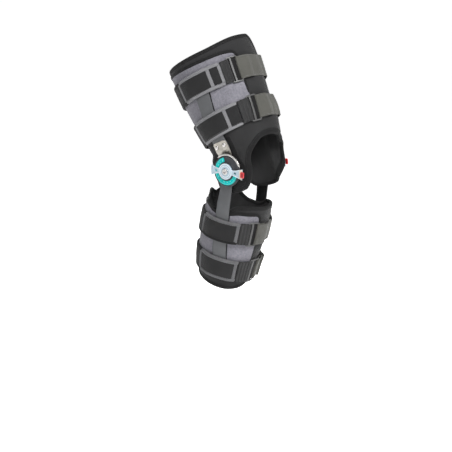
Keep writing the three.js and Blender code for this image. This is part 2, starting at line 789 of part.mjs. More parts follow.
// Plate of filled cells on a grid, bent by a placing function
function cellPlate(across, upward, filled, place) {
  const points = [];
  const faces = [];
  const known = new Map();
  const at = (i, j, layer) => {
    const key = `${i} ${j} ${layer}`;
    if (!known.has(key)) {
      known.set(key, points.length);
      points.push(place(across[i], upward[j], layer));
    }
    return known.get(key);
  };
  const quad = (a, b, c, d) => faces.push(a, b, c, a, c, d);
  const wall = (i, j, k, l) => quad(at(i, j, 0), at(k, l, 0), at(k, l, 1), at(i, j, 1));
  const within = (k, list) => k >= 0 && k < list.length - 1;
  const has = (i, j) => within(i, across) && within(j, upward) && filled(i, j);
  for (let i = 0; i < across.length - 1; i += 1) {
    for (let j = 0; j < upward.length - 1; j += 1) {
      if (!has(i, j)) {
        continue;
      }
      quad(at(i, j, 1), at(i + 1, j, 1), at(i + 1, j + 1, 1), at(i, j + 1, 1));
      quad(at(i, j, 0), at(i, j + 1, 0), at(i + 1, j + 1, 0), at(i + 1, j, 0));
      if (!has(i, j - 1)) {
        wall(i, j, i + 1, j);
      }
      if (!has(i + 1, j)) {
        wall(i + 1, j, i + 1, j + 1);
      }
      if (!has(i, j + 1)) {
        wall(i + 1, j + 1, i, j + 1);
      }
      if (!has(i - 1, j)) {
        wall(i, j + 1, i, j);
      }
    }
  }
  return meshGeometry(points, faces);
}

// Frame with two slots, bent to the limb
function buckleGeometry(limb, strap) {
  const across = [
    FOLD_BAR_START,
    FOLD_BAR_END,
    -MIDDLE_BAR_HALF,
    MIDDLE_BAR_HALF,
    WEB_BAR_START,
    WEB_BAR_END,
  ];
  const upward = [
    -BUCKLE_HALF_HEIGHT,
    ...range(-SLOT_HALF_HEIGHT, SLOT_HALF_HEIGHT, SLOT_STEPS),
    BUCKLE_HALF_HEIGHT,
  ];
  const filled = (i, j) => i % 2 === 0 || j === 0 || j === upward.length - 2;
  const middle = strapZ(strap, strap.buckle);
  const place = (run, up, layer) => {
    const u = runAngle(limb, strap, run);
    return skin(limb.sections, u, middle + up, BUCKLE_LIFT + BUCKLE_THICK * layer);
  };
  return cellPlate(across, upward, filled, place);
}

function solid(name, geometry, colour) {
  const material = new THREE.MeshStandardMaterial({ color: colour, roughness: 0.7 });
  const mesh = new THREE.Mesh(geometry, material);
  mesh.name = name;
  return mesh;
}

const THIGH = { sections: THIGH_SECTIONS, panel: THIGH_PANEL, barY: thighBarY };
const CALF = { sections: CALF_SECTIONS, panel: CALF_PANEL, barY: calfArmY };

const brace = new THREE.Group();
brace.name = 'hinged_knee_brace';
const thigh = new THREE.Group();
thigh.name = 'thigh_half';
thigh.rotation.x = -radians(THIGH_LEAN);
const calf = new THREE.Group();
calf.name = 'calf_half';
calf.rotation.x = radians(CALF_LEAN);
brace.add(thigh, calf);

const thighCuff = wrapGeometry(THIGH_SECTIONS, thighTop, thighBottom, THIGH_COLUMNS, THIGH_ROWS);
const calfCuff = wrapGeometry(CALF_SECTIONS, calfTop, calfBottom, CALF_COLUMNS, CALF_ROWS);
thigh.add(solid('thigh_wrap', thighCuff, COLOURS.neoprene));
thigh.add(solid('thigh_panel', panelGeometry(THIGH_SECTIONS, THIGH_PANEL), COLOURS.felt));
calf.add(solid('calf_wrap', calfCuff, COLOURS.neoprene));
calf.add(solid('calf_panel', panelGeometry(CALF_SECTIONS, CALF_PANEL), COLOURS.felt));

thigh.add(solid('outer_thigh_bar', thighBar(overPanel), COLOURS.bar));
thigh.add(solid('inner_thigh_bar', mirrored(thighBar(onWrap)), COLOURS.blackBar));
thigh.add(solid('outer_bracket', bracket(overPanel), COLOURS.steel));
thigh.add(solid('inner_bracket', mirrored(bracket(onWrap)), COLOURS.steel));
thigh.add(rivetMesh('outer_front_rivet', -RIVET_APART / 2, overPanel));
thigh.add(rivetMesh('outer_back_rivet', RIVET_APART / 2, overPanel));
thigh.add(rivetMesh('inner_front_rivet', -RIVET_APART / 2, onWrap));
thigh.add(rivetMesh('inner_back_rivet', RIVET_APART / 2, onWrap));
calf.add(solid('outer_calf_arm', calfArm(OVER_PANEL), COLOURS.bar));
calf.add(solid('inner_calf_arm', mirrored(calfArm(OVER_WRAP)), COLOURS.blackBar));

const dialProfile = [
  [BORE_RADIUS, 0],
  [DIAL_RADIUS, 0],
  [DIAL_RADIUS, DIAL_THICK - DIAL_EDGE],
  [DIAL_RADIUS - DIAL_EDGE, DIAL_THICK],
  [RING_OUTER + RECESS_CLEARANCE + RECESS_DRAFT, DIAL_THICK],
  [RING_OUTER + RECESS_CLEARANCE, DIAL_THICK - RECESS],
  [RING_INNER - RECESS_CLEARANCE, DIAL_THICK - RECESS],
  [RING_INNER - RECESS_CLEARANCE - RECESS_DRAFT, DIAL_THICK],
  [BORE_RADIUS, DIAL_THICK],
  [BORE_RADIUS, 0],
];
const headStart = PIVOT_HEAD_FACE - PIVOT_START;
const pivotProfile = [
  [0, 0],
  [PIVOT_RADIUS, 0],
  [PIVOT_RADIUS, headStart],
  [PIVOT_HEAD_RADIUS, headStart],
  [PIVOT_HEAD_RADIUS, headStart + PIVOT_HEAD_HEIGHT * 0.5],
  [PIVOT_HEAD_RADIUS * 0.7, headStart + PIVOT_HEAD_HEIGHT],
  [0, headStart + PIVOT_HEAD_HEIGHT],
];
const teal = sectorShape(RING_INNER, RING_OUTER, radians(RING_FROM), radians(RING_TO));
const button = roundedBox(BUTTON_START, BUTTON_END, BUTTON_HALF, BUTTON_CORNER);

for (const side of ['outer', 'inner']) {
  const placed = (geometry) => (side === 'outer' ? geometry : mirrored(geometry));
  const turn = -radians(FRONT_LEVER_TURN[side]);
  brace.add(solid(`${side}_dial`, placed(turned(dialProfile, DIAL_FACE)), COLOURS.dial));
  brace.add(solid(`${side}_scale_ring`, placed(plate(teal, RING_FACE, RING_THICK)), COLOURS.teal));
  brace.add(solid(`${side}_pivot`, placed(turned(pivotProfile, PIVOT_START)), COLOURS.rivet));
  const back = placed(plate(leverShape(BACK_LEVER_REACH), BACK_LEVER_FACE, LEVER_THICK, LEVER_STEPS));
  const backLever = solid(`${side}_back_stop_lever`, back, COLOURS.lever);
  backLever.rotation.x = Math.PI;
  const front = placed(plate(leverShape(FRONT_LEVER_REACH), FRONT_LEVER_FACE, LEVER_THICK, LEVER_STEPS));
  const frontLever = solid(`${side}_front_stop_lever`, front, COLOURS.lever);
  frontLever.rotation.x = turn;
  const cap = placed(plate(button, BUTTON_FACE, BUTTON_THICK, BUTTON_STEPS));
  const lock = solid(`${side}_lock_button`, cap, COLOURS.red);
  lock.rotation.x = turn;
  brace.add(backLever, frontLever, lock);
}

for (const strap of STRAPS) {
  const limb = strap.name.includes('thigh') ? THIGH : CALF;
  const half = strap.name.includes('thigh') ? thigh : calf;
  half.add(solid(`${strap.name}_belt`, beltGeometry(limb, strap), COLOURS.belt));
  half.add(solid(`${strap.name}_fold`, foldGeometry(limb, strap), COLOURS.fold));
  half.add(solid(`${strap.name}_buckle`, buckleGeometry(limb, strap), COLOURS.buckle));
  half.add(solid(`${strap.name}_web`, webGeometry(limb, strap), COLOURS.web));
}

export default brace;
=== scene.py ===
import math

import bmesh
import bpy
import numpy as np
from mathutils import Matrix, Vector
from mathutils.geometry import tessellate_polygon


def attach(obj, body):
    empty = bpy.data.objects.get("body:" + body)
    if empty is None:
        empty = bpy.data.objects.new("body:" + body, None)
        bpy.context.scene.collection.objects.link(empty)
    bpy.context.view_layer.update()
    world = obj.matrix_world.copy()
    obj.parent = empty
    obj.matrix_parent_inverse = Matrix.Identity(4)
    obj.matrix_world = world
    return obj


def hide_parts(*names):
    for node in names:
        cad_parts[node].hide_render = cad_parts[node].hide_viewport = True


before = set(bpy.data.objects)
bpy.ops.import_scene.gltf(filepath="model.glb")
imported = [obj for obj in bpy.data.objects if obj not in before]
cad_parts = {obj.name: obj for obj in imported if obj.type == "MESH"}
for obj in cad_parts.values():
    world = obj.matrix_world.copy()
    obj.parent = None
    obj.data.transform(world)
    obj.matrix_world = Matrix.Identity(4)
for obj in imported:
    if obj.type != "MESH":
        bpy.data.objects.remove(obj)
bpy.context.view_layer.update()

# Hinged knee brace for a right leg. Sizes are in millimetres and become metres when a mesh is made.
# Around a limb the angle u is 0 at the outer side, 90 at the front, 180 at the inner side and -90 at
# the back. Lift is the distance out from the inner face of a wrap.
MM = 0.001
TINY = 1e-12

# Layers over the limb, as lift
GAP = 0.4
SOFT_GAP = 0.75
WRAP_THICK = 5.0
PANEL_THICK = 1.5
BAR_THICK = 3.0
PAD_THICK = 4.0
WEB_THICK = 1.6
BUCKLE_THICK = 2.0
PANEL_LIFT = WRAP_THICK + SOFT_GAP
OVER_PANEL = PANEL_LIFT + PANEL_THICK + SOFT_GAP
OVER_WRAP = WRAP_THICK + SOFT_GAP

# Straps and the run of their webbing through the buckles
STRAP_HALF = 24.0
BELT_INNER_END = -232
WEB_INNER_END = 205
BUMP_RAMP = 24
PANEL_RAMP = 10
PANEL_RAMP_START = 3
FOLD_BAR_START = -10.1
FOLD_BAR_END = -7.1
MIDDLE_BAR_HALF = 2.5
WEB_BAR_START = 14
WEB_BAR_END = 17.4
BUCKLE_HALF_HEIGHT = STRAP_HALF + 4
SLOT_HALF_HEIGHT = STRAP_HALF + 0.8
UNDER_LIFT = OVER_PANEL + WEB_THICK / 2
BUCKLE_LIFT = OVER_PANEL + WEB_THICK + GAP
OVER_LIFT = BUCKLE_LIFT + BUCKLE_THICK + GAP + WEB_THICK / 2
LOOP_RADIUS = (OVER_LIFT - UNDER_LIFT) / 2
LOOP_INSET = 0.5
FOLD_START = 0.6
UNDER_RUN = 20
OVER_RUN = 22
RAMP_RUN = 22
BELT_STEP = 14
BELT_STEP_RAMP = 12
RISE_POWER = 1.5

# Metal strips
THIGH_BAR_HALF = 16.0
CALF_ARM_HALF = 15.0
BAR_LOW = 47
BAR_HIGH = 205
BEND_LOW = 31
BEND_HIGH = 46
BRACKET_TOP = 63
BRACKET_HALF = 17.5
BRACKET_CORNER = 7
LAP_LOW = 56
LAP_HIGH = 65
RIVET_Z = 54
RIVET_APART = 20
RIVET_RADIUS = 4.4
RIVET_HEIGHT = 2.5
ARM_LOW = -232
ARM_BENT = -78
ARM_FLAT = -34
ARM_HIGH = -12

# Hinge stack as distance from the middle plane, and radii
BRACKET_FACE = 62.4
BRACKET_THICK = 2.0
EYE_FACE = 64.8
EYE_THICK = 3.0
DIAL_FACE = 68.2
DIAL_THICK = 6.0
RING_FACE = 73.5
RING_THICK = 0.8
LEVER_THICK = 1.3
PIVOT_START = 62.6
PIVOT_HEAD_FACE = 78.1
BUTTON_FACE = 78.1
BUTTON_THICK = 2.4
PIVOT_RADIUS = 4.0
PIVOT_HEAD_RADIUS = 7.0
PIVOT_HEAD_HEIGHT = 1.8
BORE_RADIUS = 4.4
DIAL_RADIUS = 33.5
EYE_RADIUS = 27.0
RING_INNER = 20.6
RING_OUTER = 29.6
NUMBER_SIZE = 3.4
NUMBER_RADIUS = 23.2
SCALE_NUMBERS = {
    "text": ["0", "15", "30", "90", "75", "60", "45", "30", "15"],
    "angle": [114, 132, 150, 212, 234, 256, 278, 300, 322],
}
RING_FROM = 103
RING_TO = 355
RIM_RADIUS = 37.4
RIM_FACE = 73.6
RIM_THICK = 4.2
RIM_HIDDEN = 29.0
RIM_MIDDLE = 75
RIM_HALF = 58
HUB_RADIUS = 17.0
LEVER_END_HALF = 11.5
NECK_AT = 21.0
NECK_HALF = 5.6
WINDOW_AT = 26.0
LEVERS = {
    "back": {"reach": 38.0, "face": 74.7, "on_top": False},
    "front": {"reach": 45.0, "face": 76.4, "on_top": True},
}
LEVER_TURN = {"outer": {"back": 180, "front": -3}, "inner": {"back": 180, "front": 7}}
BUTTON_START = 41.5
BUTTON_END = 51.0
BUTTON_HALF = 6.5

THIGH_SECTIONS = {
    "z": [-60, 0, 30, 60, 90, 120, 150, 200, 270],
    "half_width": [56, 56, 55.8, 62.5, 71.5, 77, 80, 84, 92],
    "half_depth": [58, 58, 61.5, 68, 74.5, 79.5, 83, 87, 95],
    "centre_y": [-4, -4, -6, -8, -9, -7.5, -5, -2, 0],
}
CALF_SECTIONS = {
    "z": [-280, -220, -175, -130, -80, -50, 0],
    "half_width": [48.5, 55, 60, 62, 62, 60, 56],
    "half_depth": [50.5, 57, 62, 64, 63, 60, 56],
    "centre_y": [12, 12, 10, 8, 6, 4, 0],
}

# Muscle above and below the kneecap on the inner side, as extra lift of everything on the limb
THIGH_BULGE = {
    "z": [-60, -25, 5, 35, 70, 105, 140, 190, 240, 270],
    "extra": [1, 8, 14, 16, 14, 10, 4, 4, 1, 0],
}
CALF_BULGE = {"z": [-280, -200, -130, -80, 0], "extra": [0, 1, 4, 4, 4]}
# Front edge of the inner wing, which stands a little off the leg
WING_FLARE = {"z": [-60, -25, 0, 25, 48, 76, 270], "extra": [9, 13, 12, 9, 5, 0, 0]}
# Back edge of the outer wing, which is stiff and stands off the leg
BACK_FLARE = {"z": [-60, -40, -22, 16, 34, 48, 270], "extra": [9, 10, 11, 11, 7, 0, 0]}
BACK_FLARE_AT = -54
BACK_FLARE_HALF = 8
BACK_FLARE_RAMP = 24
FLARE_AT = 136
FLARE_HALF = 3
FLARE_RAMP = 15
BULGE_AT = 118
BULGE_HALF = 2
BULGE_RAMP = 42

# Edges of the wraps; the ones that are the same on both sides stop at the front
THIGH_TOP = {
    "u": [-90, -48, 28, 76, 97, 104, 116, 124, 134, 180, 270],
    "z": [244, 246, 253, 264, 265, 260, 240, 226, 221, 238, 244],
}
THIGH_BOTTOM_HALF = {
    "u": [-90, -70, -62, -54, -48, -35, -12, 6, 18, 28, 40, 47, 60, 75, 90],
    "z": [58, 55, 47, 16, -22, -41, -48, -50, -49, -41, -16, 18, 34, 45, 48],
}
CALF_TOP_HALF = {
    "u": [-90, -64, -52, -42, -30, -14, 4, 20, 32, 57, 76, 90],
    "z": [-78, -64, -61, -64, -82, -91, -92, -84, -74, -70, -71, -72],
}
CALF_BOTTOM = {
    "u": [-90, -57, -18, 13, 40, 62, 79, 101, 125, 180, 270],
    "z": [-250, -254, -262, -267, -269, -267, -263, -253, -249, -256, -250],
}

# Felt panels: angle range, the size of the front corners in degrees and millimetres, and the heights of
# the upper and lower edges
THIGH_PANEL = {
    "from": -74, "to": 70, "corner_u": 9, "corner_z": 14,
    "top": {"u": [-90, -20, 20, 45, 70], "z": [233, 232, 233, 235, 234]},
    "low": {"u": [-90, -30, 0, 30, 70], "z": [72, 74, 78, 83, 88]},
}
CALF_PANEL = {
    "from": -62, "to": 82, "corner_u": 12, "corner_z": 13,
    "top": {
        "u": [-90, -36, -24, -12, -2, 10, 25, 40, 82],
        "z": [-87, -87.5, -89.5, -94, -95.5, -95, -91, -87, -87],
    },
    "low": {"u": [-90, -30, 0, 30, 82], "z": [-233, -234, -236, -238, -241]},
}
BACK_CORNER_U = 4
BACK_CORNER_Z = 6

# Straps: middle height at the back and its rise at the front, the front end of the belt, the buckle's
# middle bar, the half angle of the bump over a bar, and the angles of the tapes sewn across the belt.
# Some have an edge whose binding is black as painted shade, where that edge faces down into shadow (1
# upper, -1 lower), or a buckle that reaches further.
STRAPS = {
    "upper_thigh": {"z": 184, "rise": 12, "belt_end": 43, "buckle": 58, "bump": 13,
                    "tapes": [-22, 27, 41.5]},
    "lower_thigh": {"z": 90, "rise": 18, "belt_end": 47, "buckle": 67, "bump": 14,
                    "tapes": [-31, 27]},
    # The lower edge of this belt faces down into shadow, so its binding is painted black as shade
    "upper_calf": {"z": -131, "rise": 0, "belt_end": 45, "buckle": 66.5, "bump": 16,
                   "tapes": [-27, 41], "shaded_edge": -1},
    "lower_calf": {"z": -213, "rise": -9, "belt_end": 56, "buckle": 88.5, "bump": 18,
                   "tapes": [-22, 51], "reach": 5},
}


def smooth(t):
    """0 up to 0, 1 from 1 on, and a soft step between."""
    s = np.clip(t, 0.0, 1.0)
    return s * s * (3 - 2 * s)


def plateau(u, at, half, ramp):
    """1 within half an angle of a place, falling to 0 over a ramp."""
    return 1 - smooth((np.abs(u - at) - half) / ramp)


def lookup(table, along, column, at):
    """One column of a table at places along another, with no overshoot."""
    xs = np.asarray(table[along], float)
    ys = np.asarray(table[column], float)
    at = np.clip(at, xs[0], xs[-1])
    slope = np.diff(ys) / np.diff(xs)
    before, after = slope[:-1], slope[1:]
    total = np.where(before + after == 0, 1, before + after)
    middle = np.where(before * after > 0, 2 * before * after / total, 0)
    tangent = np.concatenate([slope[:1], middle, slope[-1:]])
    i = np.clip(np.searchsorted(xs, at, side="right") - 1, 0, len(xs) - 2)
    run = xs[i + 1] - xs[i]
    t = (at - xs[i]) / run
    ends = (2 * t**3 - 3 * t**2 + 1) * ys[i] + (3 * t**2 - 2 * t**3) * ys[i + 1]
    return ends + run * ((t**3 - 2 * t**2 + t) * tangent[i] + (t**3 - t**2) * tangent[i + 1])


def unit(vectors):
    """Vectors of the same directions, of length 1."""
    return vectors / np.maximum(np.linalg.norm(vectors, axis=-1, keepdims=True), TINY)


def arc(start, stop, steps):
    """Even steps between two angles in degrees, as radians."""
    return np.radians(np.linspace(start, stop, steps))


def full_turn(steps):
    """Even steps round a circle, in radians."""
    return np.linspace(0, 2 * math.pi, steps, endpoint=False)


def distances(points):
    """Length along a path from its first point to each of the others."""
    return np.concatenate([[0], np.cumsum(np.linalg.norm(np.diff(points, axis=0), axis=-1))])


def between_points(at, lengths, values):
    """Values given at lengths along a path, at other lengths along it."""
    return np.stack([np.interp(at, lengths, column) for column in values.T], -1)


class Limb:
    """A tapered oval limb, leaning about the hinge axis, that everything soft lies on."""

    def __init__(self, body, sections, bulge, lean, panel, bar_slope, top, bottom):
        self.body = body
        self.sections = sections
        self.bulge = bulge
        self.panel = panel
        self.bar_slope = bar_slope
        self.top = top
        self.bottom = bottom
        self.cos = math.cos(math.radians(lean))
        self.sin = math.sin(math.radians(lean))

    def size(self, column, z):
        return lookup(self.sections, "z", column, z)

    def radius(self, z):
        return (self.size("half_width", z) + self.size("half_depth", z)) / 2

    def bulged(self, u, z):
        """Extra lift of the muscle and of the wings' stiff edges."""
        nearest = u - 360 * np.round((u - BULGE_AT) / 360)
        extra = lookup(self.bulge, "z", "extra", z) * plateau(nearest, BULGE_AT, BULGE_HALF, BULGE_RAMP)
        if self.body == "thigh":
            flare = plateau(nearest, FLARE_AT, FLARE_HALF, FLARE_RAMP)
            extra = extra + flare * lookup(WING_FLARE, "z", "extra", z)
            nearest = u - 360 * np.round((u - BACK_FLARE_AT) / 360)
            flare = plateau(nearest, BACK_FLARE_AT, BACK_FLARE_HALF, BACK_FLARE_RAMP)
            extra = extra + flare * lookup(BACK_FLARE, "z", "extra", z)
        return extra

    def local(self, u, z, layer):
        """Places at angles, heights and lifts, before the limb leans."""
        u, z, layer = np.broadcast_arrays(np.asarray(u, float), z, layer)
        lift = layer + self.bulged(u, z)
        width = self.size("half_width", z)
        depth = self.size("half_depth", z)
        c, s = np.cos(np.radians(u)), np.sin(np.radians(u))
        length = np.hypot(depth * c, width * s)
        x = -width * c - lift * depth * c / length
        y = self.size("centre_y", z) - depth * s - lift * width * s / length
        return np.stack([x, y, z], -1)

    def outward(self, u, z, lift):
        """Way straight out from the limb."""
        return unit(self.local(u, z, lift + 1) - self.local(u, z, lift))

    def place(self, u, z, layer):
        return self.lean(self.local(u, z, layer))

    def lean(self, points):
        """Places on the leaning limb, in metres."""
        x, y, z = np.moveaxis(np.asarray(points, float), -1, 0)
        leaned = np.stack([x, y * self.cos - z * self.sin, y * self.sin + z * self.cos], -1)
        return leaned * MM

    def panel_span(self):
        """Middle angle of the felt panel and half the angle that it covers."""
        return (self.panel["from"] + self.panel["to"]) / 2, (self.panel["to"] - self.panel["from"]) / 2

    def bar_y(self, z):
        return self.bar_slope * z

    def bar_angle(self, z):
        """Angle of a bar's middle line."""
        reach = (self.size("centre_y", z) - self.bar_y(z)) / self.size("half_depth", z)
        return np.degrees(np.arcsin(reach))


def one_side(u):
    """Angle on the outer side that faces one on the inner side."""
    return np.where(u > 90, 180 - u, u)


THIGH = Limb(
    "thigh", THIGH_SECTIONS, THIGH_BULGE, -23.5, THIGH_PANEL, -0.09,
    lambda u: lookup(THIGH_TOP, "u", "z", u),
    lambda u: lookup(THIGH_BOTTOM_HALF, "u", "z", one_side(u)),
)
CALF = Limb(
    "calf", CALF_SECTIONS, CALF_BULGE, 11.5, CALF_PANEL, 0.043,
    lambda u: lookup(CALF_TOP_HALF, "u", "z", one_side(u)),
    lambda u: lookup(CALF_BOTTOM, "u", "z", u),
)


def limb_of(name):
    return THIGH if "thigh" in name else CALF


# Materials
UV_NAME = "flat"
# Cycles of the wave texture in one unit at a scale of 1
WAVE_CYCLES = 20 / (2 * math.pi)
# Colour sockets of the mix node, by place because their names repeat
MIX_FIRST = 6
MIX_SECOND = 7
MIX_RESULT = 2
FIBRE_MIDDLE = 0.5
NAP_TONE = 0.35
TUFT_TONE = 0.6
CLOUD_TONE = 0.35
TUFT_HEIGHT = 0.8
METAL_ROUGH_LEAST = 0.75
METAL_ROUGH_MOST = 1.3
COAT_ROUGH_LEAST = 0.8
COAT_ROUGH_MOST = 1.25


class Paint:
    """A node material: nodes are added by kind, and values or links set by socket name."""

    def __init__(self, name, **constants):
        self.material = bpy.data.materials.new(name)
        self.material.use_nodes = True
        self.tree = self.material.node_tree
        self.shader = self.tree.nodes["Principled BSDF"]
        self.set(self.shader, constants)

    def set(self, node, values):
        for key, value in values.items():
            socket = node.inputs[key]
            if isinstance(value, bpy.types.NodeSocket):
                self.tree.links.new(value, socket)
            elif isinstance(value, (tuple, list)) and len(value) == 3 and socket.type == "RGBA":
                socket.default_value = (*value, 1)
            else:
                socket.default_value = value

    def add(self, kind, values=None, **settings):
        node = self.tree.nodes.new(kind)
        for key, value in settings.items():
            setattr(node, key, value)
        self.set(node, values or {})
        return node

    def math(self, operation, a, b):
        return self.add("ShaderNodeMath", {0: a, 1: b}, operation=operation).outputs[0]

    def flat(self):
        return self.add("ShaderNodeUVMap", uv_map=UV_NAME).outputs[0]

    def place(self):
        return self.add("ShaderNodeTexCoord").outputs["Object"]

    def noise(self, where, scale, detail=3.0, rough=0.55):
        values = {"Vector": where, "Scale": scale, "Detail": detail, "Roughness": rough}
        return self.add("ShaderNodeTexNoise", values).outputs["Fac"]

    def wave(self, where, direction, pitch):
        values = {"Vector": where, "Scale": 1 / (WAVE_CYCLES * pitch)}
        return self.add("ShaderNodeTexWave", values, bands_direction=direction).outputs["Fac"]

    def blend(self, factor, first, second):
        node = self.add("ShaderNodeMix", data_type="RGBA")
        self.tree.links.new(factor, node.inputs["Factor"])
        node.inputs[MIX_FIRST].default_value = (*first, 1)
        node.inputs[MIX_SECOND].default_value = (*second, 1)
        return node.outputs[MIX_RESULT]

    def between(self, value, low, high):
        values = {"Value": value, "To Min": low, "To Max": high}
        return self.add("ShaderNodeMapRange", values).outputs["Result"]

    def finish(self, colour=None, rough=None, height=None, depth=0.0003, strength=0.5):
        if colour is not None:
            self.tree.links.new(colour, self.shader.inputs["Base Color"])
        if rough is not None:
            self.tree.links.new(rough, self.shader.inputs["Roughness"])
        if height is not None:
            bump = self.add("ShaderNodeBump", {"Height": height, "Strength": strength, "Distance": depth})
            self.tree.links.new(bump.outputs[0], self.shader.inputs["Normal"])
        return self.material


def cloth(name, dark, light, along, across, sheen, fuzz=0.4, depth=0.0004, strength=0.6, blotch=0.5):
    """Woven or knitted cloth: two crossed sets of threads at their real pitch, fuzz and blotches."""
    paint = Paint(name, **{"Sheen Weight": sheen, "Sheen Roughness": 0.45, "Specular IOR Level": 0.25})
    flat = paint.flat()
    here = paint.place()
    threads = paint.math("MULTIPLY", paint.wave(flat, "X", along * MM), paint.wave(flat, "Y", across * MM))
    fibres = paint.noise(here, scale=1500, detail=2.0)
    patches = paint.noise(here, scale=26, detail=5.0, rough=0.6)
    height = paint.math("ADD", threads, paint.math("MULTIPLY", fibres, fuzz))
    woven = paint.math("MULTIPLY", threads, 1 - blotch)
    tone = paint.math("ADD", woven, paint.math("MULTIPLY", patches, blotch))
    stray = paint.math("SUBTRACT", fibres, FIBRE_MIDDLE)
    tone = paint.math("ADD", tone, paint.math("MULTIPLY", stray, fuzz))
    return paint.finish(
        colour=paint.blend(tone, dark, light),
        rough=paint.between(fibres, low=0.7, high=0.95),
        height=height, depth=depth, strength=strength,
    )


def felt(name, dark, light, sheen):
    """Brushed loop felt: no threads, a short tangled nap with cloudy patches."""
    paint = Paint(name, **{"Sheen Weight": sheen, "Sheen Roughness": 0.5, "Specular IOR Level": 0.2})
    here = paint.place()
    nap = paint.noise(here, scale=1100, detail=4.0, rough=0.7)
    tufts = paint.noise(here, scale=260, detail=3.0)
    clouds = paint.noise(here, scale=34, detail=4.0)
    tone = paint.math("MULTIPLY", nap, NAP_TONE)
    tone = paint.math("ADD", tone, paint.math("MULTIPLY", tufts, TUFT_TONE))
    tone = paint.math("ADD", tone, paint.math("MULTIPLY", clouds, CLOUD_TONE))
    tone = paint.between(tone, low=-0.35, high=1.15)
    height = paint.math("ADD", nap, paint.math("MULTIPLY", tufts, TUFT_HEIGHT))
    return paint.finish(
        colour=paint.blend(tone, dark, light),
        rough=paint.between(nap, low=0.8, high=1.0),
        height=height, depth=0.0007, strength=0.7,
    )


def metal(name, dark, light, rough, grain=(4, 900)):
    """Brushed metal with fine lines along the piece and soft smudges."""
    paint = Paint(name, **{"Metallic": 1.0})
    scaled = paint.add("ShaderNodeVectorMath", {0: paint.flat(), 1: (*grain, 1)}, operation="MULTIPLY")
    lines = paint.noise(scaled.outputs[0], scale=1.0, detail=4.0)
    smudge = paint.noise(paint.place(), scale=85, detail=3.0)
    return paint.finish(
        colour=paint.blend(smudge, dark, light),
        rough=paint.between(lines, rough * METAL_ROUGH_LEAST, rough * METAL_ROUGH_MOST),
        height=lines, depth=0.00005, strength=0.25,
    )


def coated(name, dark, light, rough, grain=2600, depth=0.00006, coat=0.0, shine=0.45):
    """Paint or moulded plastic with a fine grain and faint handling marks."""
    paint = Paint(name, **{"Coat Weight": coat, "Coat Roughness": 0.2, "Specular IOR Level": shine})
    here = paint.place()
    fine = paint.noise(here, grain, detail=2.0)
    worn = paint.noise(here, scale=45, detail=5.0, rough=0.65)
    return paint.finish(
        colour=paint.blend(worn, dark, light),
        rough=paint.between(worn, rough * COAT_ROUGH_LEAST, rough * COAT_ROUGH_MOST),
        height=fine, depth=depth, strength=0.5,
    )


# Cloths: dark and light colour, pitch of the threads along and across in millimetres, and sheen
NEOPRENE = cloth("neoprene_knit", (0.0058, 0.0058, 0.0061), (0.024, 0.0238, 0.0246), 1.3, 1.0, 0.1)
BINDING_BLACK = cloth("black_binding", (0.0015, 0.0015, 0.0016), (0.006, 0.006, 0.0063), 0.8, 3.0, 0.03)
FELT = felt("loop_felt", (0.04, 0.039, 0.047), (0.18, 0.176, 0.2), 0.12)
PAD = cloth("pad_knit", (0.0036, 0.0036, 0.0039), (0.0155, 0.0154, 0.0162), 0.9, 0.9, 0.06)
BINDING_GREY = cloth("grey_binding", (0.085, 0.085, 0.089), (0.215, 0.215, 0.225), 0.8, 2.6, 0.1)
# Darker copy of the grey binding for the calf belts: painted shade, the same tape as on the thigh made
# darker as if less lit
SHADED_GREY_BINDING = cloth("shaded_grey_binding", (0.048, 0.048, 0.05), (0.121, 0.121, 0.127), 0.8, 2.6, 0.1)
WEBBING = cloth("webbing", (0.036, 0.036, 0.031), (0.09, 0.088, 0.078), 0.9, 1.3, 0.12, fuzz=0.6)
DARK_WEBBING = cloth(
    "dark_webbing", (0.004, 0.004, 0.0042), (0.043, 0.043, 0.044), 7.5, 0.9, 0.06, depth=0.0016
)
THREAD_DARK = cloth("dark_thread", (0.01, 0.01, 0.011), (0.024, 0.024, 0.026), 0.4, 0.4, 0.05)
THREAD_GREY = cloth("grey_thread", (0.07, 0.07, 0.073), (0.16, 0.16, 0.167), 0.4, 0.4, 0.05)
# Metals, coats and plastics: dark and light colour, and roughness
STEEL = metal("satin_steel", (0.1, 0.093, 0.08), (0.46, 0.44, 0.4), 0.36)
BRIGHT = metal("bright_rivet", (0.42, 0.41, 0.4), (0.6, 0.59, 0.58), 0.14)
LIP = metal("bright_lip", (0.42, 0.41, 0.39), (0.62, 0.61, 0.59), 0.3)
GREY_BAR = coated("grey_coat", (0.038, 0.04, 0.043), (0.067, 0.069, 0.073), 0.5)
BLACK_BAR = coated("black_coat", (0.004, 0.004, 0.0044), (0.01, 0.01, 0.0105), 0.42)
DIAL = coated("dial_plastic", (0.01, 0.011, 0.013), (0.02, 0.023, 0.028), 0.42)
TEAL = coated("teal_scale", (0.001, 0.27, 0.26), (0.002, 0.42, 0.405), 0.6, shine=0.12)
PALE_MARK = coated("pale_marks", (0.22, 0.5, 0.5), (0.34, 0.62, 0.62), 0.45)
LEVER = coated("lever_plastic", (0.24, 0.31, 0.36), (0.33, 0.41, 0.47), 0.3, coat=0.3)
LEVER_RIM = coated("lever_rim", (0.45, 0.52, 0.57), (0.56, 0.63, 0.67), 0.28, coat=0.3)
CREAM = coated("cream_plastic", (0.45, 0.4, 0.31), (0.56, 0.51, 0.42), 0.35, coat=0.2)
RED = coated("red_plastic", (0.33, 0.008, 0.011), (0.5, 0.02, 0.024), 0.28, coat=0.4)
DARK_RED = coated("dark_red_plastic", (0.14, 0.003, 0.004), (0.22, 0.006, 0.008), 0.35)
BUCKLE = coated("buckle_plastic", (0.035, 0.035, 0.035), (0.06, 0.06, 0.06), 0.42)


# Meshes
SHARP = math.radians(38)
TAPE_EDGE_STEPS = 9


def linked(name, data):
    """A new object of the scene."""
    made = bpy.data.objects.new(name, data)
    bpy.context.scene.collection.objects.link(made)
    return made


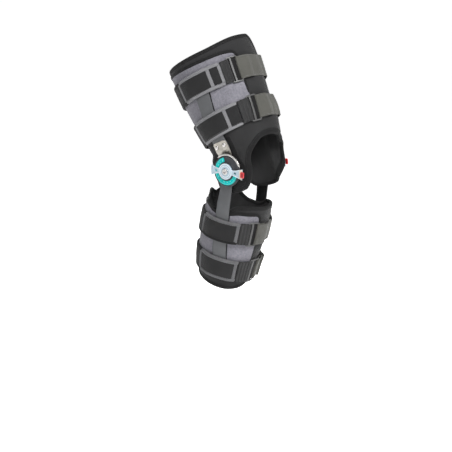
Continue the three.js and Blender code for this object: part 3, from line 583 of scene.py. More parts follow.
def new_object(name, vertices, faces, uvs, material):
    """Closed mesh facing out, smooth where it is round, in metres."""
    mesh = bpy.data.meshes.new(name)
    mesh.from_pydata(np.asarray(vertices).tolist(), [], faces)
    layer = mesh.uv_layers.new(name=UV_NAME)
    layer.data.foreach_set("uv", np.asarray(uvs, np.float32).ravel())
    form = bmesh.new()
    form.from_mesh(mesh)
    bmesh.ops.recalc_face_normals(form, faces=form.faces)
    form.to_mesh(mesh)
    form.free()
    mesh.polygons.foreach_set("use_smooth", np.ones(len(mesh.polygons), bool))
    mesh.set_sharp_from_angle(angle=SHARP)
    mesh.materials.append(material)
    return linked(name, mesh)


def steps_along(rings, closed):
    """Length from the first station to each of the others, by the mean of the loops."""
    points = np.concatenate([rings, rings[:1]]) if closed else rings
    lengths = np.linalg.norm(np.diff(points, axis=0), axis=-1).mean(-1)
    return np.concatenate([[0], np.cumsum(lengths)])


def sweep_data(rings, closed=False):
    """Vertices, faces and flat coordinates of a closed loop carried along stations."""
    rings = np.asarray(rings, float)
    stations, around = rings.shape[:2]
    count = stations if closed else stations - 1
    i, j = np.meshgrid(np.arange(count), np.arange(around), indexing="ij")
    ahead, beside = (i + 1) % stations, (j + 1) % around
    quads = np.stack([i * around + j, ahead * around + j, ahead * around + beside, i * around + beside], -1)
    along = steps_along(rings, closed)
    across = steps_along(rings.swapaxes(0, 1), True)
    uvs = np.stack([
        np.stack([along[i], across[j]], -1), np.stack([along[i + 1], across[j]], -1),
        np.stack([along[i + 1], across[j + 1]], -1), np.stack([along[i], across[j + 1]], -1),
    ], 2).reshape(-1, 2)
    faces = quads.reshape(-1, 4).tolist()
    if not closed:
        last = (stations - 1) * around
        faces += [list(range(around)), list(range(last, last + around))]
        ends = [(0, v) for v in across[:-1]] + [(along[-1], v) for v in across[:-1]]
        uvs = np.concatenate([uvs, ends])
    return rings.reshape(-1, 3), faces, uvs


def put(name, parts, material, body, slot, *nodes):
    """One piece made of closed meshes, with its body, its finish and the parts it stands for."""
    vertices, faces, uvs = [], [], []
    offset = 0
    for points, sides, flat in parts:
        vertices.append(points)
        faces += [[k + offset for k in side] for side in sides]
        uvs.append(flat)
        offset += len(points)
    made = new_object(name, np.concatenate(vertices), faces, np.concatenate(uvs), material)
    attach(made, body)
    if nodes:
        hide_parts(*nodes)
    return made


def tape_section(half, thick, crown=0.0, steps=15, edge=None):
    """Closed loop of a flat tape: places across it and heights, with round edges and a crowned top."""
    edge = edge or thick / 2
    flat = np.linspace(-(half - edge), half - edge, steps)
    turn = arc(-90, 90, TAPE_EDGE_STEPS)[1:-1]
    top = thick + crown * (1 - (flat / half) ** 2)
    right, left = half - edge + edge * np.cos(turn), -half + edge - edge * np.cos(turn)
    across = np.concatenate([flat, right, flat[::-1], left])
    rise, fall = thick / 2 * (1 + np.sin(turn)), thick / 2 * (1 - np.sin(turn))
    height = np.concatenate([0 * flat, rise, top[::-1], fall])
    return across, height


def round_section(half_width, half_height, sides=16, power=2.0):
    """Closed loop of an oval, or of a rounded box at a higher power."""
    turn = full_turn(sides)
    c, s = np.cos(turn), np.sin(turn)
    across = half_width * np.sign(c) * np.abs(c) ** (2 / power)
    height = half_height * np.sign(s) * np.abs(s) ** (2 / power)
    return across, height


def carried(points, outward, section, closed=False, scale=None):
    """Loops of a section set square to a path, with its height along the outward direction."""
    if closed:
        ahead = np.roll(points, -1, 0) - np.roll(points, 1, 0)
    else:
        ahead = np.gradient(points, axis=0)
    side = unit(np.cross(unit(ahead), outward))
    up = unit(np.cross(side, unit(ahead)))
    across, height = section
    scale = np.ones(len(points)) if scale is None else scale
    return (
        points[:, None]
        + side[:, None] * (across * scale[:, None])[..., None]
        + up[:, None] * (height * scale[:, None])[..., None]
    )


def tape_data(limb, u, z, lift, section, closed=False, scale=None):
    """Mesh data of a section carried along angles, heights and lifts on a limb."""
    rings = carried(limb.local(u, z, lift), limb.outward(u, z, lift), section, closed, scale)
    return sweep_data(limb.lean(rings), closed)


# Stitches
STITCH_LENGTH = 2.6
STITCH_PITCH = 3.6
STITCH_RADIUS = 0.36
STITCH_SIDES = 6
# Stations along a stitch as shares of its length, its girth there and how far it dips into the cloth
STITCH_FORM = {
    "run": [-0.5, -0.42, 0.0, 0.42, 0.5],
    "girth": [0.25, 0.85, 1.0, 0.85, 0.25],
    "dip": [-0.35, -0.1, 0.15, -0.1, -0.35],
}


def spaced(points, step):
    """Points a step apart along a path, their distance along it and that of the given points."""
    lengths = distances(points)
    at = np.arange(step / 2, lengths[-1] - step / 2, step)
    return between_points(at, lengths, points), at, lengths


def stitch_row(points, outward):
    """Loops of one short capsule of thread for each stitch along a path."""
    at, where, lengths = spaced(points, STITCH_PITCH)
    up = unit(between_points(where, lengths, outward))
    ahead = unit(np.gradient(at, axis=0))
    side = unit(np.cross(ahead, up))
    run = np.array(STITCH_FORM["run"]) * STITCH_LENGTH
    girth = np.array(STITCH_FORM["girth"]) * STITCH_RADIUS
    dip = np.array(STITCH_FORM["dip"])
    turn = full_turn(STITCH_SIDES)
    parts = []
    for p, t, n, s in zip(at, ahead, up, side):
        centre = p + run[:, None] * t + dip[:, None] * n
        ring = np.cos(turn)[:, None] * s + np.sin(turn)[:, None] * n
        parts.append(centre[:, None] + girth[:, None, None] * ring[None])
    return parts


def stitches(name, limb, rows, material, slot):
    """Rows of stitches on a limb, each given as local points and outward directions."""
    parts = []
    for points, outward in rows:
        parts += [sweep_data(limb.lean(ring)) for ring in stitch_row(points, outward)]
    put(name, parts, material, limb.body, slot)


# Wraps: rounded edges, rows of the outer and inner face, and the soft swelling between the straps
EDGE_STEPS = 9
EDGE_NEAR = (4.0, 6.0)
INSET = 9.0
OUTER_ROWS = 64
INNER_ROWS = 26
FINE_STEP = 0.25
PUFF = 1.3
PUFF_LEAST = 0.55
PUFF_SPREAD = 0.45
PUFF_FADE = 14
RIPPLE_MIDDLE = 0.5
RIPPLE_SHARE = 0.25
RIPPLES = [{"around": 7, "along": 1.1}, {"around": 11, "along": -2.3}]
FLAP_STEP = 1.5
FLAP_EDGE = 1.2
FLAP_FADE = 34

# How far beyond its edge something on the wrap still presses it in
PRESS_MARGIN = 1
STRAP_PRESS = 9
PANEL_PRESS = 6
PANEL_PRESS_ANGLE = 5

# Tape folded round the wraps' edges: thickness, lip beside the seam, tucked ends and the stitch line
EDGE_TAPE_OVER = 0.75
EDGE_TAPE_STEPS = 13
EDGE_TAPE_INNER_SINK = 0.5
EDGE_TAPE_LIP = 0.8
EDGE_TAPE_LIP_RISE = 0.15
EDGE_TAPE_BACK = 1
EDGE_TAPE_TUCK = 1.2
EDGE_TAPE_SEAM = 1.6
EDGE_TAPE_INSIDE = 6.0
EDGE_TAPE_OUTSIDE = {"thigh": {"upper": 7.0, "lower": 10.0}, "calf": {"upper": 7.0, "lower": 7.0}}

# Tape along a flap's front edge
FLAP_TAPE_HALF = 3.2
FLAP_TAPE_RISE = 0.75
FLAP_TAPE_SINK = 0.1
FLAP_TAPE_ROWS = 60
FLAP_SEAM = 1.8
FLAP_SEAM_RISE = 0.65

# Pads behind the hinges
HINGE_PAD = {
    "z": [-40, -32, -20, -8, 16, 29, 50, 66],
    "back": [-6, -22, -31, -34, -38, -39, -40, -36],
    "front": [10, 24, 29, 30, 23.5, 20, 18, 17],
}
HINGE_PAD_THICK = 0.9
HINGE_PAD_RISE = 0.05
HINGE_PAD_EDGE = 0.03
HINGE_PAD_ROWS = 70
HINGE_PAD_STEPS = 40
HINGE_PAD_MIDDLE = 12
HINGE_PAD_HALF = 56
HINGE_PAD_END_RAMP = 6
HINGE_PAD_SIDE_RAMP = 14
CORD_HALF = 1.3
CORD_RISE = 1.1

# Front edges of the outer flaps, and the heights between which their tape shows
THIGH_FLAP = {"z": [40, 60, 120, 190, 224, 240, 262], "u": [124, 126, 128, 127, 123, 116, 102]}
CALF_FLAP = {"z": [-275, -200, -130, -55], "u": [118, 121, 124, 126]}
FLAP_RANGE = {"thigh": (47, 219), "calf": (-249, -80)}

# Felt: its edge as a share of half its height, its uneven face and the tape that binds it
PANEL_COLUMNS = 120
PANEL_ROWS = 60
PANEL_EDGE = 0.008
NAP_HEIGHT = 0.12
NAP_AROUND = 9
NAP_ALONG = 3.1
PANEL_RIM_INSET = 0.4
PANEL_RIM_LIFT = 1.1
PANEL_RIM_HALF = 3.4
PANEL_RIM_RISE = 1.2
LEAST_STEP = 0.3


def strap_z(strap, u):
    """Middle height of a strap, which rises or falls towards the front."""
    return strap["z"] + strap["rise"] * ((1 + np.sin(np.radians(u))) / 2) ** RISE_POWER


def straps_on(limb):
    return [strap for name, strap in STRAPS.items() if limb_of(name) is limb]


def panel_edges(limb, u):
    """Heights of a felt panel's lower and upper edges, with rounded corners."""
    panel = limb.panel
    front = np.clip((u - panel["to"]) / panel["corner_u"] + 1, 0, 1)
    back = np.clip((panel["from"] - u) / BACK_CORNER_U + 1, 0, 1)
    cut = panel["corner_z"] * (1 - np.sqrt(1 - front**2)) + BACK_CORNER_Z * (1 - np.sqrt(1 - back**2))
    return lookup(panel["low"], "u", "z", u) + cut, lookup(panel["top"], "u", "z", u) - cut


def under_hinge(limb, u, z):
    """1 where the pad behind a hinge lies on the wrap."""
    if limb is not THIGH:
        return np.zeros(np.broadcast(u, z).shape)
    around = np.where(u < -90, u + 360, u)
    across = one_side(around)
    back, front = lookup(HINGE_PAD, "z", "back", z), lookup(HINGE_PAD, "z", "front", z)
    beside = plateau(across, (back + front) / 2, (front - back) / 2 + PRESS_MARGIN, HINGE_PAD_SIDE_RAMP)
    return beside * plateau(z, HINGE_PAD_MIDDLE, HINGE_PAD_HALF, HINGE_PAD_END_RAMP)


def covered(limb, u, z):
    """1 where a strap, the panel or a hinge pad presses on the wrap, 0 where it is free."""
    pressed = under_hinge(limb, u, z)
    for strap in straps_on(limb):
        away = np.abs(z - strap_z(strap, u)) - STRAP_HALF - PRESS_MARGIN
        pressed = np.maximum(pressed, 1 - smooth(away / STRAP_PRESS))
    low, high = panel_edges(limb, np.clip(u, limb.panel["from"], limb.panel["to"]))
    middle, half = limb.panel_span()
    beside = plateau(u, middle, half + PRESS_MARGIN, PANEL_PRESS_ANGLE)
    tall = 1 - smooth((np.abs(z - (low + high) / 2) - (high - low) / 2 - PRESS_MARGIN) / PANEL_PRESS)
    return np.maximum(pressed, beside * tall)


def wrap_lift(limb, flap, u, z, edge_share):
    """Outer face of a wrap: soft between the straps, stepped where its front flap ends."""
    ripple = RIPPLE_MIDDLE
    for wave in RIPPLES:
        ripple = ripple + RIPPLE_SHARE * np.sin(np.radians(wave["around"] * u + wave["along"] * z))
    puff = PUFF * (PUFF_LEAST + PUFF_SPREAD * ripple) * (1 - covered(limb, u, z)) * edge_share
    past = u - lookup(flap, "z", "u", z)
    step = FLAP_STEP * smooth(past / FLAP_EDGE) * (1 - smooth(past / FLAP_FADE))
    return WRAP_THICK + puff - step


def wrap_columns(limb, count):
    """Angles that space the columns of a wrap evenly along its wavy edges."""
    fine = np.arange(-90, 270 + FINE_STEP / 2, FINE_STEP)
    run = np.radians(FINE_STEP) * limb.radius(limb.bottom(fine[:-1]))
    drop = np.maximum(np.abs(np.diff(limb.top(fine))), np.abs(np.diff(limb.bottom(fine))))
    length = np.concatenate([[0], np.cumsum(np.hypot(run, drop))])
    return np.interp(np.linspace(0, length[-1], count, endpoint=False), length, fine)


def edge_way(limb, u, z, inward):
    """Angle and height of one millimetre inwards from a closed edge, square to it."""
    radius = limb.radius(z)
    turn = (np.roll(u, -1) - np.roll(u, 1)) % 360
    ahead = unit(np.stack([radius * np.radians(turn), np.roll(z, -1) - np.roll(z, 1)], -1))
    return -inward * ahead[:, 1] / radius * 180 / math.pi, inward * ahead[:, 0]


def wrap_edges(limb, count):
    """Angles of a wrap's columns, heights of both edges and the ways in from them."""
    u = wrap_columns(limb, count)
    low, high = limb.bottom(u), limb.top(u)
    return u, low, high, edge_way(limb, u, low, 1), edge_way(limb, u, high, -1)


def make_wrap(name, limb, flap, count):
    """Padded cuff: rounded edges, a soft outer face and a smooth inner one."""
    u, low, high, low_way, high_way = wrap_edges(limb, count)
    turn = arc(-90, 90, EDGE_STEPS)
    depth = WRAP_THICK / 2 * (1 - np.cos(turn))
    rise = WRAP_THICK / 2 * (1 + np.sin(turn))
    columns = []

    def at(way, z, inset):
        return u + way[0] * inset, z + way[1] * inset

    for d, lift in zip(depth, rise):
        columns.append((*at(low_way, low, d), lift + 0 * u))
    for d in EDGE_NEAR:
        columns.append((*at(low_way, low, d), WRAP_THICK + 0 * u))
    low_u, low_z = at(low_way, low, INSET)
    high_u, high_z = at(high_way, high, INSET)
    for t in np.linspace(0, 1, OUTER_ROWS):
        row_u, row_z = low_u + (high_u - low_u) * t, low_z + (high_z - low_z) * t
        share = smooth(np.minimum(t, 1 - t) * (high_z - low_z) / PUFF_FADE)
        columns.append((row_u, row_z, wrap_lift(limb, flap, row_u, row_z, share)))
    for d in EDGE_NEAR[::-1]:
        columns.append((*at(high_way, high, d), WRAP_THICK + 0 * u))
    for d, lift in zip(depth[::-1], rise[::-1]):
        columns.append((*at(high_way, high, d), lift + 0 * u))
    for t in np.linspace(1, 0, INNER_ROWS):
        columns.append((low_u + (high_u - low_u) * t, low_z + (high_z - low_z) * t, 0 * u))
    rings = np.stack([limb.place(*column) for column in columns], 1)
    made = put(name, [sweep_data(rings, closed=True)], NEOPRENE, limb.body, "neoprene", f"{limb.body}_wrap")


def make_edge_binding(name, limb, edge, count):
    """Folded tape round an edge of a wrap, and the line along which it is sewn down on the outside."""
    u, low, high, low_way, high_way = wrap_edges(limb, count)
    z, way = (high, high_way) if edge == "upper" else (low, low_way)
    outer_width, inner_width = EDGE_TAPE_OUTSIDE[limb.body][edge], EDGE_TAPE_INSIDE
    over, half = EDGE_TAPE_OVER, WRAP_THICK / 2
    turn = arc(-90, 90, EDGE_TAPE_STEPS)
    inset = np.concatenate([
        [inner_width], half * (1 - np.cos(turn)) - over * np.cos(turn),
        [outer_width, outer_width + EDGE_TAPE_LIP, outer_width - EDGE_TAPE_BACK],
        [inner_width - EDGE_TAPE_BACK, inner_width + EDGE_TAPE_LIP],
    ])
    lift = np.concatenate([
        [-EDGE_TAPE_INNER_SINK], half + (half + over) * np.sin(turn),
        [WRAP_THICK + over, WRAP_THICK + EDGE_TAPE_LIP_RISE, WRAP_THICK - EDGE_TAPE_TUCK],
        [EDGE_TAPE_TUCK, 0.0],
    ])
    rings = np.stack([
        limb.place(u + way[0] * d, z + way[1] * d, h + 0 * u) for d, h in zip(inset, lift)
    ], 1)
    put(name, [sweep_data(rings, closed=True)], BINDING_BLACK, limb.body, "neoprene")
    d = outer_width - EDGE_TAPE_SEAM
    row_u, row_z = u + way[0] * d, z + way[1] * d
    ends = np.append(np.arange(len(u)), 0)
    line = limb.local(row_u, row_z, WRAP_THICK + over)[ends]
    return line, limb.outward(row_u, row_z, WRAP_THICK)[ends]


def make_hinge_pad(name, inner):
    """Thin black pad on the wing of the wrap behind a hinge, with a corded front edge."""
    z = np.linspace(HINGE_PAD["z"][0], HINGE_PAD["z"][-1], HINGE_PAD_ROWS)
    back, front = lookup(HINGE_PAD, "z", "back", z), lookup(HINGE_PAD, "z", "front", z)
    share, height = tape_section(1.0, HINGE_PAD_THICK, steps=HINGE_PAD_STEPS, edge=HINGE_PAD_EDGE)
    u = (back + front)[:, None] / 2 + (front - back)[:, None] / 2 * share
    turned = 180 - u if inner else u
    pad = THIGH.place(turned, z[:, None], WRAP_THICK + HINGE_PAD_RISE + height)
    edge = 180 - front if inner else front
    lift = np.full(len(z), WRAP_THICK + HINGE_PAD_THICK / 2)
    section = round_section(CORD_HALF, CORD_RISE, sides=12)
    cord = tape_data(THIGH, edge, z, lift, section)
    put(name, [sweep_data(pad), cord], BINDING_BLACK, "thigh", "neoprene")


def make_flap_binding(name, limb, flap):
    """Tape along the front edge of a wrap's outer flap, and its stitch line."""
    z = np.linspace(*FLAP_RANGE[limb.body], FLAP_TAPE_ROWS)
    u = lookup(flap, "z", "u", z)
    lift = np.full(len(z), WRAP_THICK - FLAP_TAPE_SINK)
    section = round_section(FLAP_TAPE_HALF, FLAP_TAPE_RISE, sides=14, power=2.8)
    put(name, [tape_data(limb, u, z, lift, section)], BINDING_BLACK, limb.body, "neoprene")
    seam = u - np.degrees(FLAP_SEAM / limb.radius(z))
    return limb.local(seam, z, lift + FLAP_SEAM_RISE), limb.outward(seam, z, lift)


def make_panel(limb):
    """Felt panel with rounded corners."""
    middle, half = limb.panel_span()
    u = middle + half * np.sin(arc(-90, 90, PANEL_COLUMNS))
    low, high = panel_edges(limb, u)
    share, height = tape_section(1.0, PANEL_THICK, steps=PANEL_ROWS, edge=PANEL_EDGE)
    z = (low + high)[:, None] / 2 + (high - low)[:, None] / 2 * share
    uneven = np.sin(np.radians(NAP_AROUND * u[:, None] + NAP_ALONG * z)) * (height > PANEL_THICK / 2)
    rings = limb.place(u[:, None], z, PANEL_LIFT + height + NAP_HEIGHT * uneven)
    name = f"{limb.body}_panel"
    made = put(f"{name}_felt", [sweep_data(rings)], FELT, limb.body, "felt", name)
    around = np.radians(u) * (limb.radius((low + high) / 2) + PANEL_LIFT) * MM
    width = float(np.ptp(np.radians(u)) * (limb.radius((low + high).mean() / 2) + PANEL_LIFT) * MM)
    make_panel_binding(f"{name}_binding", limb, u, low, high)


def make_panel_binding(name, limb, u, low, high):
    """Black tape round the edge of a felt panel."""
    middle, half = limb.panel_span()
    inset = PANEL_RIM_INSET / (np.radians(half) * limb.radius((low + high).mean() / 2))
    rim_u = middle + (np.concatenate([u, u[::-1]]) - middle) * (1 - inset)
    rim_z = np.concatenate([low + PANEL_RIM_INSET, high[::-1] - PANEL_RIM_INSET])
    lift = PANEL_LIFT + PANEL_RIM_LIFT
    path = limb.local(rim_u, rim_z, lift)
    keep = np.linalg.norm(np.roll(path, -1, 0) - path, axis=-1) > LEAST_STEP
    section = round_section(PANEL_RIM_HALF, PANEL_RIM_RISE, sides=14, power=2.6)
    data = tape_data(limb, rim_u[keep], rim_z[keep], lift, section, closed=True)
    put(name, [data], BINDING_BLACK, limb.body, "felt")


# Bars, brackets and arms: stations along them, small laps and clearances, and edges
OUTER = 1
STRIP_STEPS = 9
STRIP_EDGE = 0.04375
END_CROWDING = 0.3
CORNER_STEPS = 8
BAR_ROWS = 60
BAR_CORNER = 10
BRACKET_ROWS = 40
BRACKET_LAP = 1.5
BRACKET_STEPS = 120
STRIP_SINK = 0.02
EYE_SINK = 0.05
ARM_ROWS = 50
ARM_BEND_ROWS = 24
ARM_NECK = -23
BORE_STEPS = 32
PLATE_BEVEL = 0.5
BEVEL_STEPS = 4
MITRE_LEAST = 0.25
CORNER_SHARE = 2.2
NEAR_AXIS = 0.2
AXIS_RADIUS = 0.05

# Black strip under the outer bars, a little wider than them, as painted shadow along their edges
SHADOW_LINER_MARGIN = 1.7
SHADOW_LINER_SPARE = 1
SHADOW_LINER_SINK = 0.6
SHADOW_LINER_THICK = 1.1
SHADOW_LINER_ROWS = 40

# Lip round the top of the dial, which tapers at its ends
RIM_STEPS = 70
RIM_LAP = 0.2
RIM_TAPER_STEPS = 6
RIM_TAPER_LEAST = 0.25

# Domed rivet heads
RIVET_STEPS = 32
RIVET_ROWS = 8
RIVET_CLIMB = 88
RIVET_FLAT = 0.3
RIVET_POWER = 0.3
RIVET_EDGE = 0.5


def on_wrap(z):
    """Lift of a bar that lies on the wrap."""
    return OVER_WRAP + 0 * z


def over_panel(z):
    """Lift of a bar that climbs from the wrap to the felt panel."""
    return OVER_WRAP + (OVER_PANEL - OVER_WRAP) * smooth((z - LAP_LOW) / (LAP_HIGH - LAP_LOW))


def strip_rings(limb, z, half, flat_share, flat_face, lift, thick, side):
    """Loops of a metal strip that is flat near the hinge and follows the limb further off."""
    across, height = tape_section(1.0, thick, steps=STRIP_STEPS, edge=STRIP_EDGE)
    z = z[:, None]
    shift = across * half[:, None]
    lift = lift[:, None]
    radius = limb.size("half_width", z) + lift
    u = limb.bar_angle(z) + np.degrees(shift / radius)
    bent = limb.local(u, z + 0 * shift, lift + height)
    flat = np.stack([-(flat_face + height + 0 * shift), limb.bar_y(z) - shift, z + 0 * shift], -1)
    share = flat_share[:, None, None]
    points = bent * (1 - share) + flat * share
    points[..., 0] *= side
    return limb.lean(points)


def put_strip(name, limb, z, half, lift, thick, side, material, slot, *nodes):
    """A strip that follows the limb along its whole length."""
    rings = strip_rings(limb, z, half, 0 * z, 0, lift, thick, side)
    put(name, [sweep_data(rings)], material, limb.body, slot, *nodes)


def put_shadow_liner(name, limb, z, half, lift, side):
    """Black strip under an outer bar, sunk a little below it: painted shadow along the bar's edges."""
    lift = lift - SHADOW_LINER_SINK
    put_strip(f"{name}_shadow_liner", limb, z, half, lift, SHADOW_LINER_THICK, side, BINDING_BLACK, "dark_webbing")


def rounded_stations(low, high, count, radius, half):
    """Heights along a strip and its half width there, with the corners of its upper end rounded."""
    turn = np.sin(arc(-90, 90, count))
    spread = END_CROWDING * turn + (1 - END_CROWDING) * np.linspace(-1, 1, count)
    extra = radius * (1 - np.cos(arc(0, 90, CORNER_STEPS)))
    z = (low + high) / 2 + (high - low) / 2 * spread
    z = np.unique(np.concatenate([z, low + extra, high - extra]))
    inside = np.clip(np.abs(z - high) / radius, 0, 1)
    return z, half - radius * (1 - np.sqrt(1 - (1 - inside) ** 2)) * (inside < 1)


def disc_outline(radius, steps=96, start=0.0, stop=360.0):
    """Circle or arc as front and up from the axis."""
    turn = np.radians(np.linspace(start, stop, steps, endpoint=stop - start < 360))
    return np.stack([radius * np.cos(turn), radius * np.sin(turn)], -1)


def rib_data(path, face, section, side, closed=False, scale=None):
    """Section carried along a path of front and up, standing on a face of the hinge."""
    front, up = np.asarray(path, float).T
    points = np.stack([-side * face + 0 * front, -front, up], -1)
    out = np.tile([-side, 0.0, 0.0], (len(points), 1))
    return sweep_data(carried(points, out, section, closed, scale) * MM, closed)


def rim_data(side):
    """Raised lip of a bracket round the top of its dial."""
    middle = (DIAL_RADIUS - RIM_LAP + RIM_RADIUS) / 2
    half = (RIM_RADIUS - DIAL_RADIUS + RIM_LAP) / 2
    depth = RIM_THICK / 2
    path = disc_outline(middle, RIM_STEPS, RIM_MIDDLE - RIM_HALF, RIM_MIDDLE + RIM_HALF)
    step = np.arange(RIM_STEPS)
    taper = np.clip(np.minimum(step, step[::-1]) / RIM_TAPER_STEPS, RIM_TAPER_LEAST, 1)
    section = round_section(half, depth, sides=20, power=4.0)
    return rib_data(path, RIM_FACE - depth, section, side, scale=taper)


def turned_left(outline, left):
    """An outline that turns left, or right, as asked."""
    loop = np.asarray(outline, float)
    x, y = loop[:, 0], loop[:, 1]
    turns_left = np.sum(x * np.roll(y, -1) - np.roll(x, -1) * y) > 0
    return loop if turns_left == left else loop[::-1]


def bevel_levels(thick, bevel):
    """Inset and height of each level of a plate's rounded wall."""
    turn = arc(0, 90, BEVEL_STEPS)
    into = bevel * (1 - np.sin(turn))
    up = bevel * (1 - np.cos(turn))
    return list(zip(into, up)) + list(zip(into[::-1], thick - up[::-1]))


def mitres(loop):
    """Way into the plate at each corner of an outline, long enough to inset both of its edges by 1."""
    ahead = unit(np.roll(loop, -1, 0) - loop)
    normal = np.stack([-ahead[:, 1], ahead[:, 0]], -1)
    before = np.roll(normal, 1, 0)
    return (normal + before) / np.maximum(1 + np.sum(normal * before, -1, keepdims=True), MITRE_LEAST)


def plate_data(outlines, face, thick, bevel, side):
    """Flat plate with rounded edges, from an outline and its holes, as front and up from the axis."""
    levels = bevel_levels(thick, bevel)
    vertices, faces, rims = [], [], []
    start = 0
    for k, outline in enumerate(outlines):
        loop = turned_left(outline, k == 0)
        mitre, count = mitres(loop), len(loop)
        for inset, height in levels:
            vertices.append(np.column_stack([loop + mitre * inset, np.full(count, height)]))
        for level in range(len(levels) - 1):
            a, b = start + level * count, start + (level + 1) * count
            faces += [[a + i, a + (i + 1) % count, b + (i + 1) % count, b + i] for i in range(count)]
        last = start + (len(levels) - 1) * count
        rims.append((range(start, start + count), range(last, last + count)))
        start = last + count
    points = np.concatenate(vertices)
    for level in (0, 1):
        index = [i for rim in rims for i in rim[level]]
        polygons = [[Vector((*points[i][:2], 0)) for i in rim[level]] for rim in rims]
        faces += [[index[i] for i in triangle] for triangle in tessellate_polygon(polygons)]
    front, up, out = points.T
    placed = np.stack([-side * (face + out), -front, up], -1) * MM
    uvs = np.array([points[i][:2] * MM for f in faces for i in f])
    return placed, faces, uvs


def turn_in_plane(outline, degrees):
    """An outline turned about the hinge axis."""
    c, s = math.cos(math.radians(degrees)), math.sin(math.radians(degrees))
    return np.asarray(outline, float) @ np.array([[c, s], [-s, c]])


def lathe_data(profile, face, side, steps=96):
    """Round piece on the hinge axis from a closed profile of radius and distance from the face."""
    radius, along = np.asarray(profile, float).T
    turn = full_turn(steps)[:, None]
    x = -side * (face + along) + 0 * turn
    rings = np.stack([x, radius * np.cos(turn), radius * np.sin(turn)], -1) * MM
    return sweep_data(rings, closed=True)


def rounded_profile(points, corner, steps=4):
    """A closed profile with its corners rounded, where the corner size allows."""
    points = np.asarray(points, float)
    out = []
    for k, point in enumerate(points):
        if point[0] < NEAR_AXIS:
            out.append(point)
            continue
        before, after = points[k - 1] - point, points[(k + 1) % len(points)] - point
        reach = min(corner, np.linalg.norm(before) / CORNER_SHARE, np.linalg.norm(after) / CORNER_SHARE)
        start, end = point + unit(before) * reach, point + unit(after) * reach
        for t in np.linspace(0, 1, steps):
            out.append((1 - t) ** 2 * start + 2 * t * (1 - t) * point + t**2 * end)
    return out


def make_thigh_bar(name, lift, side, material, slot):
    """Upright on the thigh."""
    z, half = rounded_stations(BAR_LOW, BAR_HIGH, BAR_ROWS, BAR_CORNER, THIGH_BAR_HALF)
    put_strip(f"{name}_strip", THIGH, z, half, lift(z), BAR_THICK, side, material, slot, name)
    # A wider black strip under the outer bar shows as painted shadow along its edges
    if side == OUTER:
        low, high = BAR_LOW - SHADOW_LINER_SPARE, BAR_HIGH + SHADOW_LINER_SPARE
        z, half = rounded_stations(low, high, BAR_ROWS, BAR_CORNER, THIGH_BAR_HALF + SHADOW_LINER_MARGIN)
        put_shadow_liner(name, THIGH, z, half, lift(z), side)


def make_bracket(name, bar_lift, side):
    """Plate that carries a dial and is bent over the upright, and the bright lip over the dial."""
    low = BEND_LOW - BRACKET_LAP
    z, half = rounded_stations(low, BRACKET_TOP, BRACKET_ROWS, BRACKET_CORNER, BRACKET_HALF)
    flat_share = 1 - smooth((z - BEND_LOW) / (BEND_HIGH - BEND_LOW))
    lift = bar_lift(z) + BAR_THICK + GAP
    face, thick = BRACKET_FACE + STRIP_SINK, BRACKET_THICK - 2 * STRIP_SINK
    rings = strip_rings(THIGH, z, half, flat_share, face, lift, thick, side)
    outlines = [disc_outline(RIM_HIDDEN, BRACKET_STEPS), disc_outline(BORE_RADIUS, BORE_STEPS)]
    disc = plate_data(outlines, BRACKET_FACE, BRACKET_THICK, PLATE_BEVEL, side)
    put(f"{name}_plate", [sweep_data(rings), disc], STEEL, "thigh", "steel", name)
    put(f"{name}_lip", [rim_data(side)], LIP, "thigh", "steel")


def make_rivet(name, across, bar_lift, side):
    """Domed head of a rivet through a bracket."""
    lift = float(bar_lift(np.array(RIVET_Z)) + BAR_THICK + GAP + BRACKET_THICK)
    u = float(THIGH.bar_angle(RIVET_Z) + np.degrees(across / (THIGH.size("half_width", RIVET_Z) + lift)))
    centre = THIGH.local(u, RIVET_Z, lift)
    out = THIGH.outward(u, RIVET_Z, lift)
    beside = unit(np.cross(out, [0, 0, 1]))
    above = np.cross(beside, out)
    turn = full_turn(RIVET_STEPS)[:, None]
    climb = arc(0, RIVET_CLIMB, RIVET_ROWS)
    dome = RIVET_RADIUS * (RIVET_FLAT + (1 - RIVET_FLAT) * np.cos(climb)) * np.cos(climb) ** RIVET_POWER
    radius = np.concatenate([[AXIS_RADIUS, RIVET_RADIUS], dome])
    height = np.concatenate([[0, 0], RIVET_EDGE + (RIVET_HEIGHT - RIVET_EDGE) * np.sin(climb)])
    rings = (
        centre + (radius * np.cos(turn))[..., None] * beside + (radius * np.sin(turn))[..., None] * above
        + (height + 0 * turn)[..., None] * out
    )
    rings[..., 0] *= side
    put(f"{name}_head", [sweep_data(THIGH.lean(rings), closed=True)], BRIGHT, "thigh", "rivet", name)


def make_calf_arm(name, lift, side, material, slot):
    """Upright on the calf, with its round eye at the hinge."""
    z = np.concatenate([
        np.linspace(ARM_LOW, ARM_BENT, ARM_ROWS), np.linspace(ARM_BENT, ARM_FLAT, ARM_BEND_ROWS)[1:],
        [ARM_NECK, ARM_HIGH],
    ])
    flat_share = smooth((z - ARM_BENT) / (ARM_FLAT - ARM_BENT))
    half = np.full(len(z), CALF_ARM_HALF)
    rings = strip_rings(CALF, z, half, flat_share, EYE_FACE, lift + 0 * z, EYE_THICK, side)
    outlines = [disc_outline(EYE_RADIUS), disc_outline(BORE_RADIUS, BORE_STEPS)]
    eye = plate_data(outlines, EYE_FACE + EYE_SINK, EYE_THICK - 2 * EYE_SINK, PLATE_BEVEL, side)
    put(f"{name}_strip", [sweep_data(rings), eye], material, "calf", slot, name)
    # A wider black strip under the outer arm shows as painted shadow along its edges
    if side == OUTER:
        z = np.linspace(ARM_LOW, CALF_PANEL["top"]["z"][-1], SHADOW_LINER_ROWS)
        half = np.full(len(z), CALF_ARM_HALF + SHADOW_LINER_MARGIN)
        put_shadow_liner(name, CALF, z, half, lift + 0 * z, side)


